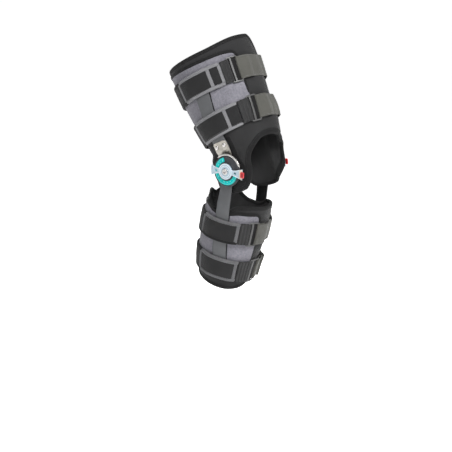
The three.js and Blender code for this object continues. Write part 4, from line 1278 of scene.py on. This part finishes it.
# Belts: stations, rounded ends, the crown of their face and the dip at a tape sewn across them
BELT_COLUMNS = 240
BELT_ROWS = 29
BELT_CROWN = 1.0
BELT_EDGE = 2.8
BELT_TIP = 2.0
BELT_END_TURN = 80
BELT_END_STEPS = 6
BELT_END_LEAST = 0.05
TAPE_PINCH = 0.28
PINCH_REACH = 5
PINCH_LEAST = 0.6

# Rolled tape along a belt's edges, with its girth at both ends, and flat tape across it
BELT_TAPE_HALF = 4.0
BELT_TAPE_ROLL = 0.7
BELT_TAPE_OVERHANG = 1.2
BELT_TAPE_LAP = 0.5
BELT_TAPE_STEP = 1.2
BELT_TAPE_STEPS_LEAST = 12
BELT_TAPE_ENDS = (0.45, 0.86)
BELT_SEAM_INSET = 1.2
CROSS_TAPE_HALF = 3.9
CROSS_TAPE_RISE = 0.8
CROSS_TAPE_INSET = 4
CROSS_TAPE_STEPS = 24
CROSS_SEAM_INSET = 0.9
INNER_TAPE_AT = 3
SEAM_SINK = 0.1

# Webbing, and the black tab behind a buckle's open slot, which is painted shade
WEB_ROWS = 21
WEB_UNDER_STEPS = 12
WEB_OVER_STEPS = 10
WEB_LAY_STEPS = 110
WEB_SEAM_INSET = 2.6
LOOP_STEPS = 16
FOLD_STEPS = 16
TAB_START = 1.5
TAB_END = 11.5
TAB_HALF = 26.5
TAB_STEPS = 10

# Buckles
BUCKLE_CORNER = 4.0
BUCKLE_CORNER_STEPS = 8
BUCKLE_STEPS = 160
BUCKLE_BAR_STEPS = 30
BUCKLE_FRAME_HALF = 1.65


def belt_lift(limb, strap, u):
    """Lift of a belt's inner face, which climbs over the panel and both bars."""
    middle, half = limb.panel_span()
    bar = limb.bar_angle(strap["z"])
    base = OVER_WRAP + (OVER_PANEL - OVER_WRAP) * plateau(u, middle, half + PANEL_RAMP_START, PANEL_RAMP)
    bump = np.maximum(*(plateau(u, at, strap["bump"], BUMP_RAMP) for at in (bar, -180 - bar)))
    return base + (BAR_THICK + SOFT_GAP) * bump


def run_angle(limb, strap, run):
    """Angle of a place given in millimetres along the strap from the buckle's middle bar."""
    z = strap_z(strap, strap["buckle"])
    return strap["buckle"] + np.degrees(run / (limb.radius(z) + BUCKLE_LIFT))


def belt_angle(limb, strap, length):
    """Angle that a length along a belt takes up."""
    return np.degrees(length / (limb.radius(strap["z"]) + OVER_PANEL))


def belt_pinch(limb, strap, u):
    """Share of a belt's full thickness, which dips at the tapes sewn across it."""
    share = np.ones(np.shape(u))
    reach = limb.radius(strap["z"]) + OVER_PANEL
    for tape in strap["tapes"]:
        away = np.radians(u - tape) * reach
        share = share - TAPE_PINCH * np.exp(-((away / PINCH_REACH) ** 2))
    return np.clip(share, PINCH_LEAST, 1)


def make_belt(name, limb, strap):
    """Padded belt with rounded ends and a crowned face that dips at its tapes."""
    start, stop = BELT_INNER_END, strap["belt_end"]
    tip = belt_angle(limb, strap, BELT_TIP)
    ends = tip * (1 - np.cos(arc(0, BELT_END_TURN, BELT_END_STEPS)))
    u = np.linspace(start + tip, stop - tip, BELT_COLUMNS)
    u = np.concatenate([start + ends[1:], u, stop - ends[:0:-1]])
    inside = np.minimum(u - start, stop - u) / tip
    tipped = np.sqrt(np.clip(1 - (1 - np.clip(inside, 0, 1)) ** 2, BELT_END_LEAST, 1))
    across, height = tape_section(STRAP_HALF, PAD_THICK, BELT_CROWN, BELT_ROWS, BELT_EDGE)
    middle = PAD_THICK / 2
    crowned = middle + (height - middle) * tipped[:, None] * belt_pinch(limb, strap, u)[:, None]
    z = strap_z(strap, u)[:, None] + across
    rings = limb.place(u[:, None], z, belt_lift(limb, strap, u)[:, None] + crowned)
    made = put(f"{name}_belt_pad", [sweep_data(rings)], PAD, limb.body, "belt", f"{name}_belt")


def edge_binding(limb, strap, start, stop, way):
    """Rolled binding along one edge of a belt between two angles, as mesh data, and its stitch line."""
    u = np.linspace(start, stop, max(BELT_TAPE_STEPS_LEAST, int((stop - start) / BELT_TAPE_STEP)))
    middle = belt_lift(limb, strap, u) + PAD_THICK / 2
    z = strap_z(strap, u) + way * (STRAP_HALF - BELT_TAPE_HALF + BELT_TAPE_OVERHANG)
    out = limb.outward(u, z, middle)
    taper = np.ones(len(u))
    for k, girth in enumerate(BELT_TAPE_ENDS):
        taper[[k, -1 - k]] = girth
    section = round_section(BELT_TAPE_HALF, PAD_THICK / 2 + BELT_TAPE_ROLL, sides=20, power=2.5)
    data = tape_data(limb, u, z, middle, section, scale=taper)
    seam = z - way * (BELT_TAPE_HALF - BELT_SEAM_INSET)
    return data, (limb.local(u, seam, middle + PAD_THICK / 2 + BELT_TAPE_ROLL - SEAM_SINK), out)


def cross_tape(limb, strap, at):
    """Flat tape sewn across a belt, as mesh data, and the stitch lines along its edges."""
    across = np.linspace(CROSS_TAPE_INSET - STRAP_HALF, STRAP_HALF - CROSS_TAPE_INSET, CROSS_TAPE_STEPS)
    z = strap_z(strap, at) + across
    here = np.full(len(z), float(at))
    middle = PAD_THICK / 2
    top = PAD_THICK + BELT_CROWN * (1 - (across / STRAP_HALF) ** 2)
    lift = belt_lift(limb, strap, here) + middle + (top - middle) * belt_pinch(limb, strap, here)
    out = limb.outward(here, z, lift)
    section = round_section(CROSS_TAPE_HALF, CROSS_TAPE_RISE, sides=16, power=2.8)
    data = tape_data(limb, here, z, lift, section)
    reach = belt_angle(limb, strap, CROSS_TAPE_HALF - CROSS_SEAM_INSET)
    seam = lift + CROSS_TAPE_RISE - SEAM_SINK
    return data, [(limb.local(here + way * reach, z, seam), out) for way in (-1, 1)]


def make_belt_tapes(name, limb, strap):
    """Grey bindings round the outer pad of a belt, black ones behind it and on an edge painted black as
    shade, and their stitches.
    """
    grey, black, rows, dark_rows = [], [], [], []
    first, last = strap["tapes"][0], strap["belt_end"]
    for way in (-1, 1):
        data, row = edge_binding(limb, strap, first, last, way)
        # A belt edge in shadow takes black binding and dark stitches instead of grey ones: painted shade
        dark = strap.get("shaded_edge") == way
        (black if dark else grey).append(data)
        (dark_rows if dark else rows).append(row)
        data, row = edge_binding(limb, strap, BELT_INNER_END, first + BELT_TAPE_LAP, way)
        black.append(data)
        dark_rows.append(row)
    for at in strap["tapes"]:
        data, lines = cross_tape(limb, strap, at)
        grey.append(data)
        rows += lines
    black.append(cross_tape(limb, strap, BELT_INNER_END + INNER_TAPE_AT)[0])
    # The calf belts take the darker copy of the grey binding, which is painted shade
    tape = BINDING_GREY if limb is THIGH else SHADED_GREY_BINDING
    put(f"{name}_belt_binding", grey, tape, limb.body, "belt")
    put(f"{name}_belt_black_binding", black, BINDING_BLACK, limb.body, "belt")
    stitches(f"{name}_belt_stitches", limb, rows, THREAD_GREY, "belt")
    stitches(f"{name}_belt_dark_stitches", limb, dark_rows, THREAD_DARK, "belt")


def ribbon_rings(limb, strap, u, lift, half):
    """Loops of webbing along angles and lifts, standing square to its run."""
    across, height = tape_section(half, WEB_THICK, steps=WEB_ROWS)
    z = strap_z(strap, u)[:, None] + across
    points = limb.local(u[:, None], z, lift[:, None])
    run = np.gradient(points, axis=0)
    outer = unit(np.stack([run[..., 1], -run[..., 0], 0 * run[..., 0]], -1))
    return limb.lean(points + outer * (height - WEB_THICK / 2)[..., None])


def put_webbing(name, limb, strap, u, lift, material, slot, rests_on, *nodes, half=STRAP_HALF):
    """A length of webbing of the width and length that it has."""
    rings = ribbon_rings(limb, strap, u, lift, half)
    made = put(name, [sweep_data(rings)], material, limb.body, slot, *nodes)
    path = limb.local(u, strap_z(strap, u), lift) * MM


def loop_path(limb, strap, centre, way):
    """Half turn round a buckle bar, from under it to over it."""
    turn = arc(0, 180, LOOP_STEPS)
    u = run_angle(limb, strap, centre + way * LOOP_RADIUS * np.sin(turn))
    return u, UNDER_LIFT + LOOP_RADIUS * (1 - np.cos(turn))


def make_fold(name, limb, strap):
    """Doubled webbing from the end of a belt round the near bar of its buckle."""
    start = strap["belt_end"] + FOLD_START
    loop_u, loop_lift = loop_path(limb, strap, FOLD_BAR_END - LOOP_INSET, 1)
    over = np.linspace(start, loop_u[-1], FOLD_STEPS)[:-1]
    under = np.linspace(loop_u[0], start, FOLD_STEPS)[1:]
    u = np.concatenate([over, loop_u[::-1], under])
    lift = np.concatenate([0 * over + OVER_LIFT, loop_lift[::-1], 0 * under + UNDER_LIFT])
    made, node, below = f"{name}_fold_tape", f"{name}_fold", f"{name}_belt_pad"
    put_webbing(made, limb, strap, u, lift, DARK_WEBBING, "dark_webbing", below, node)


def make_slot_shade_tab(name, limb, strap):
    """Dark tab of the fold that lies behind the open slot of a buckle, black as painted shade in the slot.
    """
    run = np.linspace(FOLD_BAR_END + TAB_START, TAB_END + strap.get("reach", 0), TAB_STEPS)
    u = run_angle(limb, strap, run)
    lift = 0 * u + UNDER_LIFT
    made, below = f"{name}_slot_shade_tab", f"{limb.body}_panel_felt"
    # The tab takes the blackest cloth, so the slot shows painted shade
    put_webbing(made, limb, strap, u, lift, BINDING_BLACK, "dark_webbing", below, half=TAB_HALF)


def web_path(limb, strap):
    """Angles and lifts of a web, and how many of them lie under the buckle and round its far bar."""
    bar = limb.bar_angle(strap["z"])
    far = WEB_BAR_START + strap.get("reach", 0)
    under = run_angle(limb, strap, np.linspace(far + UNDER_RUN, far + LOOP_INSET, WEB_UNDER_STEPS)[:-1])
    loop_u, loop_lift = loop_path(limb, strap, far + LOOP_INSET, -1)
    over = run_angle(limb, strap, np.linspace(far + LOOP_INSET, far + OVER_RUN, WEB_OVER_STEPS)[1:])
    start, low = over[-1], run_angle(limb, strap, far + OVER_RUN + RAMP_RUN)
    lay = np.linspace(start, WEB_INNER_END, WEB_LAY_STEPS)[1:]
    drop = OVER_LIFT + (OVER_WRAP + WEB_THICK / 2 - OVER_LIFT) * smooth((lay - start) / (low - start))
    edge = 360 + BELT_INNER_END - BELT_STEP
    climb = (PAD_THICK + SOFT_GAP) * smooth((lay - edge) / BELT_STEP_RAMP)
    bump = (BAR_THICK + SOFT_GAP) * plateau(lay, 180 - bar, strap["bump"], BUMP_RAMP)
    u = np.concatenate([under, loop_u, over, lay])
    lift = np.concatenate([0 * under + UNDER_LIFT, loop_lift, 0 * over + OVER_LIFT, drop + climb + bump])
    return u, lift, len(under) + len(loop_u)


def make_web(name, limb, strap):
    """Webbing from the far bar of a buckle round the inner side, with a stitch line along both edges."""
    u, lift, hidden = web_path(limb, strap)
    made, node, below = f"{name}_web_tape", f"{name}_web", f"{name}_buckle_frame"
    put_webbing(made, limb, strap, u, lift, WEBBING, "webbing", below, node)
    u, top = u[hidden:], lift[hidden:] + WEB_THICK / 2
    rows = []
    for way in (-1, 1):
        z = strap_z(strap, u) + way * (STRAP_HALF - WEB_SEAM_INSET)
        rows.append((limb.local(u, z, top), limb.outward(u, z, top)))
    stitches(f"{name}_web_stitches", limb, rows, THREAD_GREY, "webbing")


def rounded_box(left, right, half, corner, steps=7):
    """Outline of a box with round corners, between two places and as far up as down."""
    middle = (left + right) / 2
    outline = []
    for x, y, start in ((right, half, 0), (left, half, 90), (left, -half, 180), (right, -half, 270)):
        turn = arc(start, start + 90, steps)
        centre = (x - math.copysign(corner, x - middle), y - math.copysign(corner, y))
        outline += list(zip(centre[0] + corner * np.cos(turn), centre[1] + corner * np.sin(turn)))
    return np.array(outline)


def make_buckle(name, limb, strap):
    """Rounded loop with a middle bar, bent to the limb."""
    left = (FOLD_BAR_START + FOLD_BAR_END) / 2
    right = (WEB_BAR_START + WEB_BAR_END) / 2 + strap.get("reach", 0)
    tall = (BUCKLE_HALF_HEIGHT + SLOT_HALF_HEIGHT) / 2
    box = rounded_box(left, right, tall, BUCKLE_CORNER, BUCKLE_CORNER_STEPS)
    path = np.concatenate([box, box[:1]])
    lengths = distances(path)
    at = np.linspace(0, lengths[-1], BUCKLE_STEPS, endpoint=False)
    run, up = between_points(at, lengths, path).T
    bar_up = np.linspace(-tall, tall, BUCKLE_BAR_STEPS)
    middle = strap_z(strap, strap["buckle"])
    lift = BUCKLE_LIFT + BUCKLE_THICK / 2

    def tube(run, up, half, closed):
        section = round_section(half, BUCKLE_THICK / 2, sides=14, power=2.6)
        return tape_data(limb, run_angle(limb, strap, run), middle + up, lift, section, closed)

    parts = [tube(run, up, BUCKLE_FRAME_HALF, True), tube(0 * bar_up, bar_up, MIDDLE_BAR_HALF, False)]
    put(f"{name}_buckle_frame", parts, BUCKLE, limb.body, "buckle", f"{name}_buckle")


# Levers: steps, the flare of the arm, its window, and the light rims along its edges and round the hub
LEVER_FLARE = 1.25
LEVER_TIP_BULGE = 0.8
LEVER_TIP_STEPS = 15
LEVER_EDGE_STEPS = 16
LEVER_BEVEL = 0.3
HUB_STEPS = 72
WINDOW_HALF_LENGTH = 3
WINDOW_HALF_HEIGHT = 3.6
RIB_HALF = 0.75
RIB_RISE = 0.4
RIB_LAP = 1.2
RIB_INSET = 0.8
RIB_STEPS = 26
RIB_SIDES = 12
RIB_POWER = 2.4
HUB_RIBS = [{"inset": 1.1, "half": 0.9}, {"inset": 5.2, "half": 0.7}]
HUB_RIB_RISE = 0.45
HUB_RIB_STEPS = 90

# Dial: its edges and the groove that the scale lies in
DIAL_CHAMFER = 1.5
DIAL_CORNER = 0.7
GROOVE_DEPTH = 1
GROOVE_FOOT = 0.4
GROOVE_RIM = 0.6

# Scale: marks a step apart with longer ones between, and numbers
SCALE_STEPS = 90
SCALE_BEVEL = 0.15
TICK_STEP = 5
TICK_LONG_EVERY = 30
TICK_LONG = 3.2
TICK_SHORT = 1.8
TICK_INSET = 0.8
TICK_HALF = 0.22
TICK_RISE = 0.12
TICK_SINK = 0.02
TICK_BEVEL = 0.03
NUMBER_RISE = 0.06

# Head of the pivot, with a sunk middle, as shares of its radius and height
PIVOT_HEAD = {"radius": [1, 1, 0.8, 0.45, 0.3], "height": [0, 0.6, 1, 1, 0.4]}
PIVOT_CORNER = 0.5

# Cream end of the front lever, and the red button on it with its well and the floor of that
CREAM_LENGTH = 4.5
CREAM_INSET = 0.4
CREAM_TIP_INSET = 0.3
CREAM_EDGE_STEPS = 8
CREAM_SINK = 0.05
CREAM_THICK = 0.45
CREAM_BEVEL = 0.2
BUTTON_BEVEL = 0.8
BUTTON_BOXES = {
    "rim": {"end_inset": 0, "side_inset": 0, "corner": 2.6},
    "well": {"end_inset": 2.6, "side_inset": 2.8, "corner": 1.6},
    "floor": {"end_inset": 2.2, "side_inset": 2.4, "corner": 1.6},
}
WELL_FLOOR_RISE = 0.2
WELL_FLOOR_SINK = 1.1
WELL_FLOOR_BEVEL = 0.2


def lever_half(p, reach):
    """Half width of a lever's arm, which is narrow beside the hub and flares to its end."""
    share = np.clip((p - NECK_AT) / (reach - NECK_AT), 0, 1)
    return NECK_HALF + (LEVER_END_HALF - NECK_HALF) * share**LEVER_FLARE


def lever_outline(reach):
    """Outline of a lever that points to the front: round hub, neck and wide end."""
    join = math.degrees(math.asin(NECK_HALF / HUB_RADIUS))
    start = HUB_RADIUS * math.cos(math.radians(join))
    end = np.linspace(-1, 1, LEVER_TIP_STEPS)
    tip = np.stack([reach + LEVER_TIP_BULGE * (1 - end**2), LEVER_END_HALF * end], -1)
    p = np.linspace(reach, start, LEVER_EDGE_STEPS)[1:-1]
    upper = np.stack([p, lever_half(p, reach)], -1)
    hub = disc_outline(HUB_RADIUS, HUB_STEPS, join, 360 - join)
    lower = np.stack([p, -lever_half(p, reach)], -1)[::-1]
    return np.concatenate([tip, upper, hub, lower])


def diamond(at, half_length, half_height):
    """Window in a lever's arm."""
    return [(at - half_length, 0), (at, half_height), (at + half_length, 0), (at, -half_height)]


def lever_ribs(lever, turn, side):
    """Light rims along both edges of a lever's arm, and round its hub where that is on top."""
    reach, face = lever["reach"], lever["face"] + LEVER_THICK
    p = np.linspace(HUB_RADIUS - RIB_LAP, reach - RIB_INSET, RIB_STEPS)
    section = round_section(RIB_HALF, RIB_RISE, RIB_SIDES, RIB_POWER)
    parts = []
    for way in (-1, 1):
        path = np.stack([p, way * (lever_half(p, reach) - RIB_HALF)], -1)
        parts.append(rib_data(turn_in_plane(path, turn), face, section, side))
    if lever["on_top"]:
        for rib in HUB_RIBS:
            path = disc_outline(HUB_RADIUS - rib["inset"], HUB_RIB_STEPS)
            section = round_section(rib["half"], HUB_RIB_RISE, RIB_SIDES, RIB_POWER)
            parts.append(rib_data(path, face, section, side, closed=True))
    return parts


def lever_end(reach, start):
    """Outline of the far end of a lever's arm, a little inside its edge."""
    end = np.linspace(-1, 1, LEVER_TIP_STEPS)
    p = np.linspace(reach - CREAM_INSET, start, CREAM_EDGE_STEPS)
    half = lever_half(p, reach) - CREAM_INSET
    tip = np.stack([reach - CREAM_TIP_INSET + LEVER_TIP_BULGE * (1 - end**2), half[0] * end], -1)
    upper = np.stack([p, half], -1)[1:]
    return np.concatenate([tip, upper, (upper * [1, -1])[::-1]])


def ring_sector(inner, outer, start, stop):
    """Outline of a part of a flat ring between two angles."""
    far, near = (disc_outline(radius, SCALE_STEPS, start, stop) for radius in (outer, inner))
    return np.concatenate([far, near[::-1]])


def number_data(text, angle, side):
    """A plain number on a scale, its top outwards, as mesh data."""
    curve = bpy.data.curves.new("number", "FONT")
    curve.body = text
    curve.size = NUMBER_SIZE
    curve.align_x = "CENTER"
    curve.align_y = "CENTER"
    curve.extrude = NUMBER_RISE
    curve.resolution_u = 2
    holder = bpy.data.objects.new("number", curve)
    mesh = holder.to_mesh()
    points = np.array([v.co for v in mesh.vertices])
    faces = [list(p.vertices) for p in mesh.polygons]
    holder.to_mesh_clear()
    bpy.data.objects.remove(holder)
    flat = turn_in_plane(np.stack([points[:, 0] * side, points[:, 1] + NUMBER_RADIUS], -1), angle - 90)
    out = RING_FACE + RING_THICK + points[:, 2]
    placed = np.stack([-side * out, -flat[:, 0], flat[:, 1]], -1) * MM
    uvs = np.array([flat[i] * MM for face in faces for i in face])
    return placed, faces, uvs


def make_dial(side_name, side):
    """Round body of a dial, with a groove for the scale."""
    top, floor = DIAL_THICK, DIAL_THICK - GROOVE_DEPTH
    profile = [
        (BORE_RADIUS, 0), (DIAL_RADIUS, 0),
        (DIAL_RADIUS, top - DIAL_CHAMFER), (DIAL_RADIUS - DIAL_CHAMFER, top),
        (RING_OUTER + GROOVE_RIM, top), (RING_OUTER + GROOVE_FOOT, floor),
        (RING_INNER - GROOVE_FOOT, floor), (RING_INNER - GROOVE_RIM, top),
        (BORE_RADIUS, top),
    ]
    data = lathe_data(rounded_profile(profile, DIAL_CORNER), DIAL_FACE, side)
    put(f"{side_name}_dial_body", [data], DIAL, "thigh", "dial", f"{side_name}_dial")


def make_scale(side_name, side):
    """Teal sector in a dial's groove, with its marks and numbers."""
    outline = ring_sector(RING_INNER, RING_OUTER, RING_FROM, RING_TO)
    face = plate_data([outline], RING_FACE, RING_THICK, SCALE_BEVEL, side)
    put(f"{side_name}_scale_face", [face], TEAL, "thigh", "scale", f"{side_name}_scale_ring")
    marks = []
    for angle in range(RING_FROM + TICK_STEP, RING_TO - TICK_STEP + 1, TICK_STEP):
        long = TICK_LONG if (angle - RING_FROM) % TICK_LONG_EVERY == TICK_STEP else TICK_SHORT
        far = RING_OUTER - TICK_INSET
        near = far - long
        tick = [(near, -TICK_HALF), (far, -TICK_HALF), (far, TICK_HALF), (near, TICK_HALF)]
        foot = RING_FACE + RING_THICK - TICK_SINK
        marks.append(plate_data([turn_in_plane(tick, angle)], foot, TICK_RISE, TICK_BEVEL, side))
    for number, angle in zip(SCALE_NUMBERS["text"], SCALE_NUMBERS["angle"]):
        marks.append(number_data(number, angle, side))
    put(f"{side_name}_scale_marks", marks, PALE_MARK, "thigh", "scale")


def make_pivot(side_name, side):
    """Pin through the hinge, with a round head that has a sunk middle."""
    foot = PIVOT_HEAD_FACE - PIVOT_START
    profile = [(AXIS_RADIUS, 0), (PIVOT_RADIUS, 0), (PIVOT_RADIUS, foot)]
    for radius, height in zip(PIVOT_HEAD["radius"], PIVOT_HEAD["height"]):
        profile.append((PIVOT_HEAD_RADIUS * radius, foot + PIVOT_HEAD_HEIGHT * height))
    profile.append((AXIS_RADIUS, profile[-1][1]))
    data = lathe_data(rounded_profile(profile, PIVOT_CORNER), PIVOT_START, side)
    put(f"{side_name}_pivot_rivet", [data], BRIGHT, "thigh", "rivet", f"{side_name}_pivot")


def make_stops(side_name, side):
    """Both range stops of a dial."""
    for which, lever in LEVERS.items():
        body = f"{side_name}_{which}_stop"
        name = f"{body}_lever"
        turn = LEVER_TURN[side_name][which]
        window = diamond(WINDOW_AT, WINDOW_HALF_LENGTH, WINDOW_HALF_HEIGHT)
        outline, window = turn_in_plane(lever_outline(lever["reach"]), turn), turn_in_plane(window, turn)
        bore = disc_outline(BORE_RADIUS, BORE_STEPS)
        plate = plate_data([outline, bore, window], lever["face"], LEVER_THICK, LEVER_BEVEL, side)
        put(f"{name}_plate", [plate], LEVER, body, "lever", name)
        put(f"{name}_rims", lever_ribs(lever, turn, side), LEVER_RIM, body, "lever")
    make_button(side_name, side, LEVERS["front"], LEVER_TURN[side_name]["front"])


def button_outline(part, turn):
    """Outline of the button's rim, its well or the floor of that."""
    box = BUTTON_BOXES[part]
    left, right = BUTTON_START + box["end_inset"], BUTTON_END - box["end_inset"]
    return turn_in_plane(rounded_box(left, right, BUTTON_HALF - box["side_inset"], box["corner"]), turn)


def make_button(side_name, side, lever, turn):
    """Cream end of the front lever and the red button on it, which has a sunk middle."""
    body = f"{side_name}_front_stop"
    name = f"{side_name}_lock_button"
    outline = turn_in_plane(lever_end(lever["reach"], BUTTON_START - CREAM_LENGTH), turn)
    foot = lever["face"] + LEVER_THICK - CREAM_SINK
    end = plate_data([outline], foot, CREAM_THICK, CREAM_BEVEL, side)
    put(f"{side_name}_lever_end", [end], CREAM, body, "lever")
    outlines = [button_outline("rim", turn), button_outline("well", turn)]
    cap = plate_data(outlines, BUTTON_FACE, BUTTON_THICK, BUTTON_BEVEL, side)
    put(f"{name}_cap", [cap], RED, body, "button", name)
    foot, thick = BUTTON_FACE + WELL_FLOOR_RISE, BUTTON_THICK - WELL_FLOOR_SINK
    floor = plate_data([button_outline("floor", turn)], foot, thick, WELL_FLOOR_BEVEL, side)
    put(f"{name}_well", [floor], DARK_RED, body, "button")


# Build
COLUMNS = {"thigh": 300, "calf": 220}
for limb, flap in ((THIGH, THIGH_FLAP), (CALF, CALF_FLAP)):
    count = COLUMNS[limb.body]
    make_wrap(f"{limb.body}_wrap_cloth", limb, flap, count)
    rows = []
    for edge in ("upper", "lower"):
        rows.append(make_edge_binding(f"{limb.body}_{edge}_binding", limb, edge, count))
    rows.append(make_flap_binding(f"{limb.body}_flap_binding", limb, flap))
    stitches(f"{limb.body}_edge_stitches", limb, rows, THREAD_DARK, "neoprene")
    make_panel(limb)

for side_name, side in (("outer", OUTER), ("inner", -OUTER)):
    lift = over_panel if side == OUTER else on_wrap
    arm_lift = OVER_PANEL if side == OUTER else OVER_WRAP
    bar, slot = (GREY_BAR, "grey_bar") if side == OUTER else (BLACK_BAR, "black_bar")
    make_thigh_bar(f"{side_name}_thigh_bar", lift, side, bar, slot)
    make_bracket(f"{side_name}_bracket", lift, side)
    make_rivet(f"{side_name}_front_rivet", RIVET_APART / 2, lift, side)
    make_rivet(f"{side_name}_back_rivet", -RIVET_APART / 2, lift, side)
    make_calf_arm(f"{side_name}_calf_arm", arm_lift, side, bar, slot)
    make_hinge_pad(f"{side_name}_hinge_pad", side != OUTER)
    make_dial(side_name, side)
    make_scale(side_name, side)
    make_pivot(side_name, side)
    make_stops(side_name, side)

for name, strap in STRAPS.items():
    limb = limb_of(name)
    make_belt(name, limb, strap)
    make_belt_tapes(name, limb, strap)
    make_fold(name, limb, strap)
    make_slot_shade_tab(name, limb, strap)
    make_buckle(name, limb, strap)
    make_web(name, limb, strap)


# Stage: the camera, a pale floor and wall, three lights and a white sky
CAMERA_AZIMUTH = -52.0
CAMERA_ELEVATION = 12.6
CAMERA_DISTANCE = 2.8
IMAGE_SIZE = 452
SCALE = 0.00215
ORIGIN_PIXEL = (247.3, 166.6)
SENSOR = 36.0
CLIP_START = 0.05
CLIP_END = 200
FLOOR_Z = -0.47
FLOOR_HALF = 60.0
WHITE = (1, 1, 1)
FLOOR_DARK = (0.9, 0.9, 0.9)
FLOOR_LIGHT = (0.93, 0.93, 0.93)
FLOOR_GLOW = 0.75
WALL_RADIUS = 25.0
WALL_TOP = 30.0
WALL_STEPS = 96
WALL_GLOW = 1.02
WORLD_STRENGTH = 0.3
LIGHTS = {
    "name": ["key", "fill", "rim"],
    "azimuth": [-24, -100, 140],
    "elevation": [42, 25, 45],
    "distance": [2.6, 2.8, 2.6],
    "size": [1.0, 1.6, 1.2],
    "power": [17, 6.5, 14],
    "spread": [70, 100, 100],
}


def direction(azimuth, elevation):
    """Way from the origin to a place seen from it at an azimuth and an elevation."""
    a, e = math.radians(azimuth), math.radians(elevation)
    return Vector((math.sin(a) * math.cos(e), -math.cos(a) * math.cos(e), math.sin(e)))


def camera_axes():
    """Ways back, right and up of the camera."""
    back = direction(CAMERA_AZIMUTH, CAMERA_ELEVATION)
    turn = math.radians(CAMERA_AZIMUTH)
    right = Vector((math.cos(turn), math.sin(turn), 0))
    return back, right, back.cross(right)


def make_camera():
    back, right, up = camera_axes()
    middle = IMAGE_SIZE / 2
    aim = right * (middle - ORIGIN_PIXEL[0]) * SCALE - up * (middle - ORIGIN_PIXEL[1]) * SCALE
    data = bpy.data.cameras.new("camera")
    data.sensor_width = SENSOR
    data.lens = SENSOR * CAMERA_DISTANCE / (SCALE * IMAGE_SIZE)
    data.clip_start = CLIP_START
    data.clip_end = CLIP_END
    turned = Matrix((right, up, back)).transposed().to_4x4()
    camera = linked("camera", data)
    camera.matrix_world = Matrix.Translation(aim + back * CAMERA_DISTANCE) @ turned
    bpy.context.scene.camera = camera


def put_on_stage(name, vertices, faces, material):
    """An object that is only scenery."""
    mesh = bpy.data.meshes.new(name)
    mesh.from_pydata(vertices, [], faces)
    mesh.materials.append(material)
    made = linked(name, mesh)
    return made


def make_floor():
    """Pale ground with a faint speckle."""
    corners = [(x * FLOOR_HALF, y * FLOOR_HALF, FLOOR_Z) for x, y in ((-1, -1), (1, -1), (1, 1), (-1, 1))]
    paint = Paint("pale_floor", **{"Roughness": 0.9, "Specular IOR Level": 0.1})
    paint.set(paint.shader, {"Emission Color": WHITE, "Emission Strength": FLOOR_GLOW})
    tone = paint.blend(paint.noise(paint.place(), scale=4.0), FLOOR_DARK, FLOOR_LIGHT)
    put_on_stage("floor", corners, [[0, 1, 2, 3]], paint.finish(colour=tone))


def make_backdrop():
    """Round wall far off, as pale as the floor, which only the camera sees."""
    turn = full_turn(WALL_STEPS)
    ring = np.stack([WALL_RADIUS * np.cos(turn), WALL_RADIUS * np.sin(turn)], -1)
    low, high = (np.column_stack([ring, np.full(WALL_STEPS, z)]) for z in (FLOOR_Z, WALL_TOP))
    after = [(i + 1) % WALL_STEPS for i in range(WALL_STEPS)]
    faces = [[i, after[i], WALL_STEPS + after[i], WALL_STEPS + i] for i in range(WALL_STEPS)]
    paint = Paint("pale_backdrop", **{"Base Color": (0, 0, 0), "Roughness": 1.0, "Specular IOR Level": 0.0})
    paint.set(paint.shader, {"Emission Color": WHITE, "Emission Strength": WALL_GLOW})
    wall = put_on_stage("backdrop", np.concatenate([low, high]).tolist(), faces, paint.material)
    wall.visible_diffuse = False
    wall.visible_glossy = False
    wall.visible_shadow = False


def make_light(name, azimuth, elevation, distance, size, power, spread):
    """Round lamp that faces the origin."""
    back = direction(azimuth, elevation)
    data = bpy.data.lights.new(name, "AREA")
    data.shape = "DISK"
    data.size = size
    data.energy = power
    data.spread = math.radians(spread)
    light = linked(name, data)
    light.location = back * distance
    light.rotation_mode = "QUATERNION"
    light.rotation_quaternion = back.to_track_quat("Z", "Y")


make_camera()
make_floor()
make_backdrop()
for light in zip(*LIGHTS.values()):
    make_light(*light)
world = bpy.data.worlds.new("studio")
world.use_nodes = True
sky = world.node_tree.nodes["Background"]
sky.inputs["Color"].default_value = (*WHITE, 1)
sky.inputs["Strength"].default_value = WORLD_STRENGTH
bpy.context.scene.world = world
bpy.context.scene.view_settings.view_transform = "Standard"
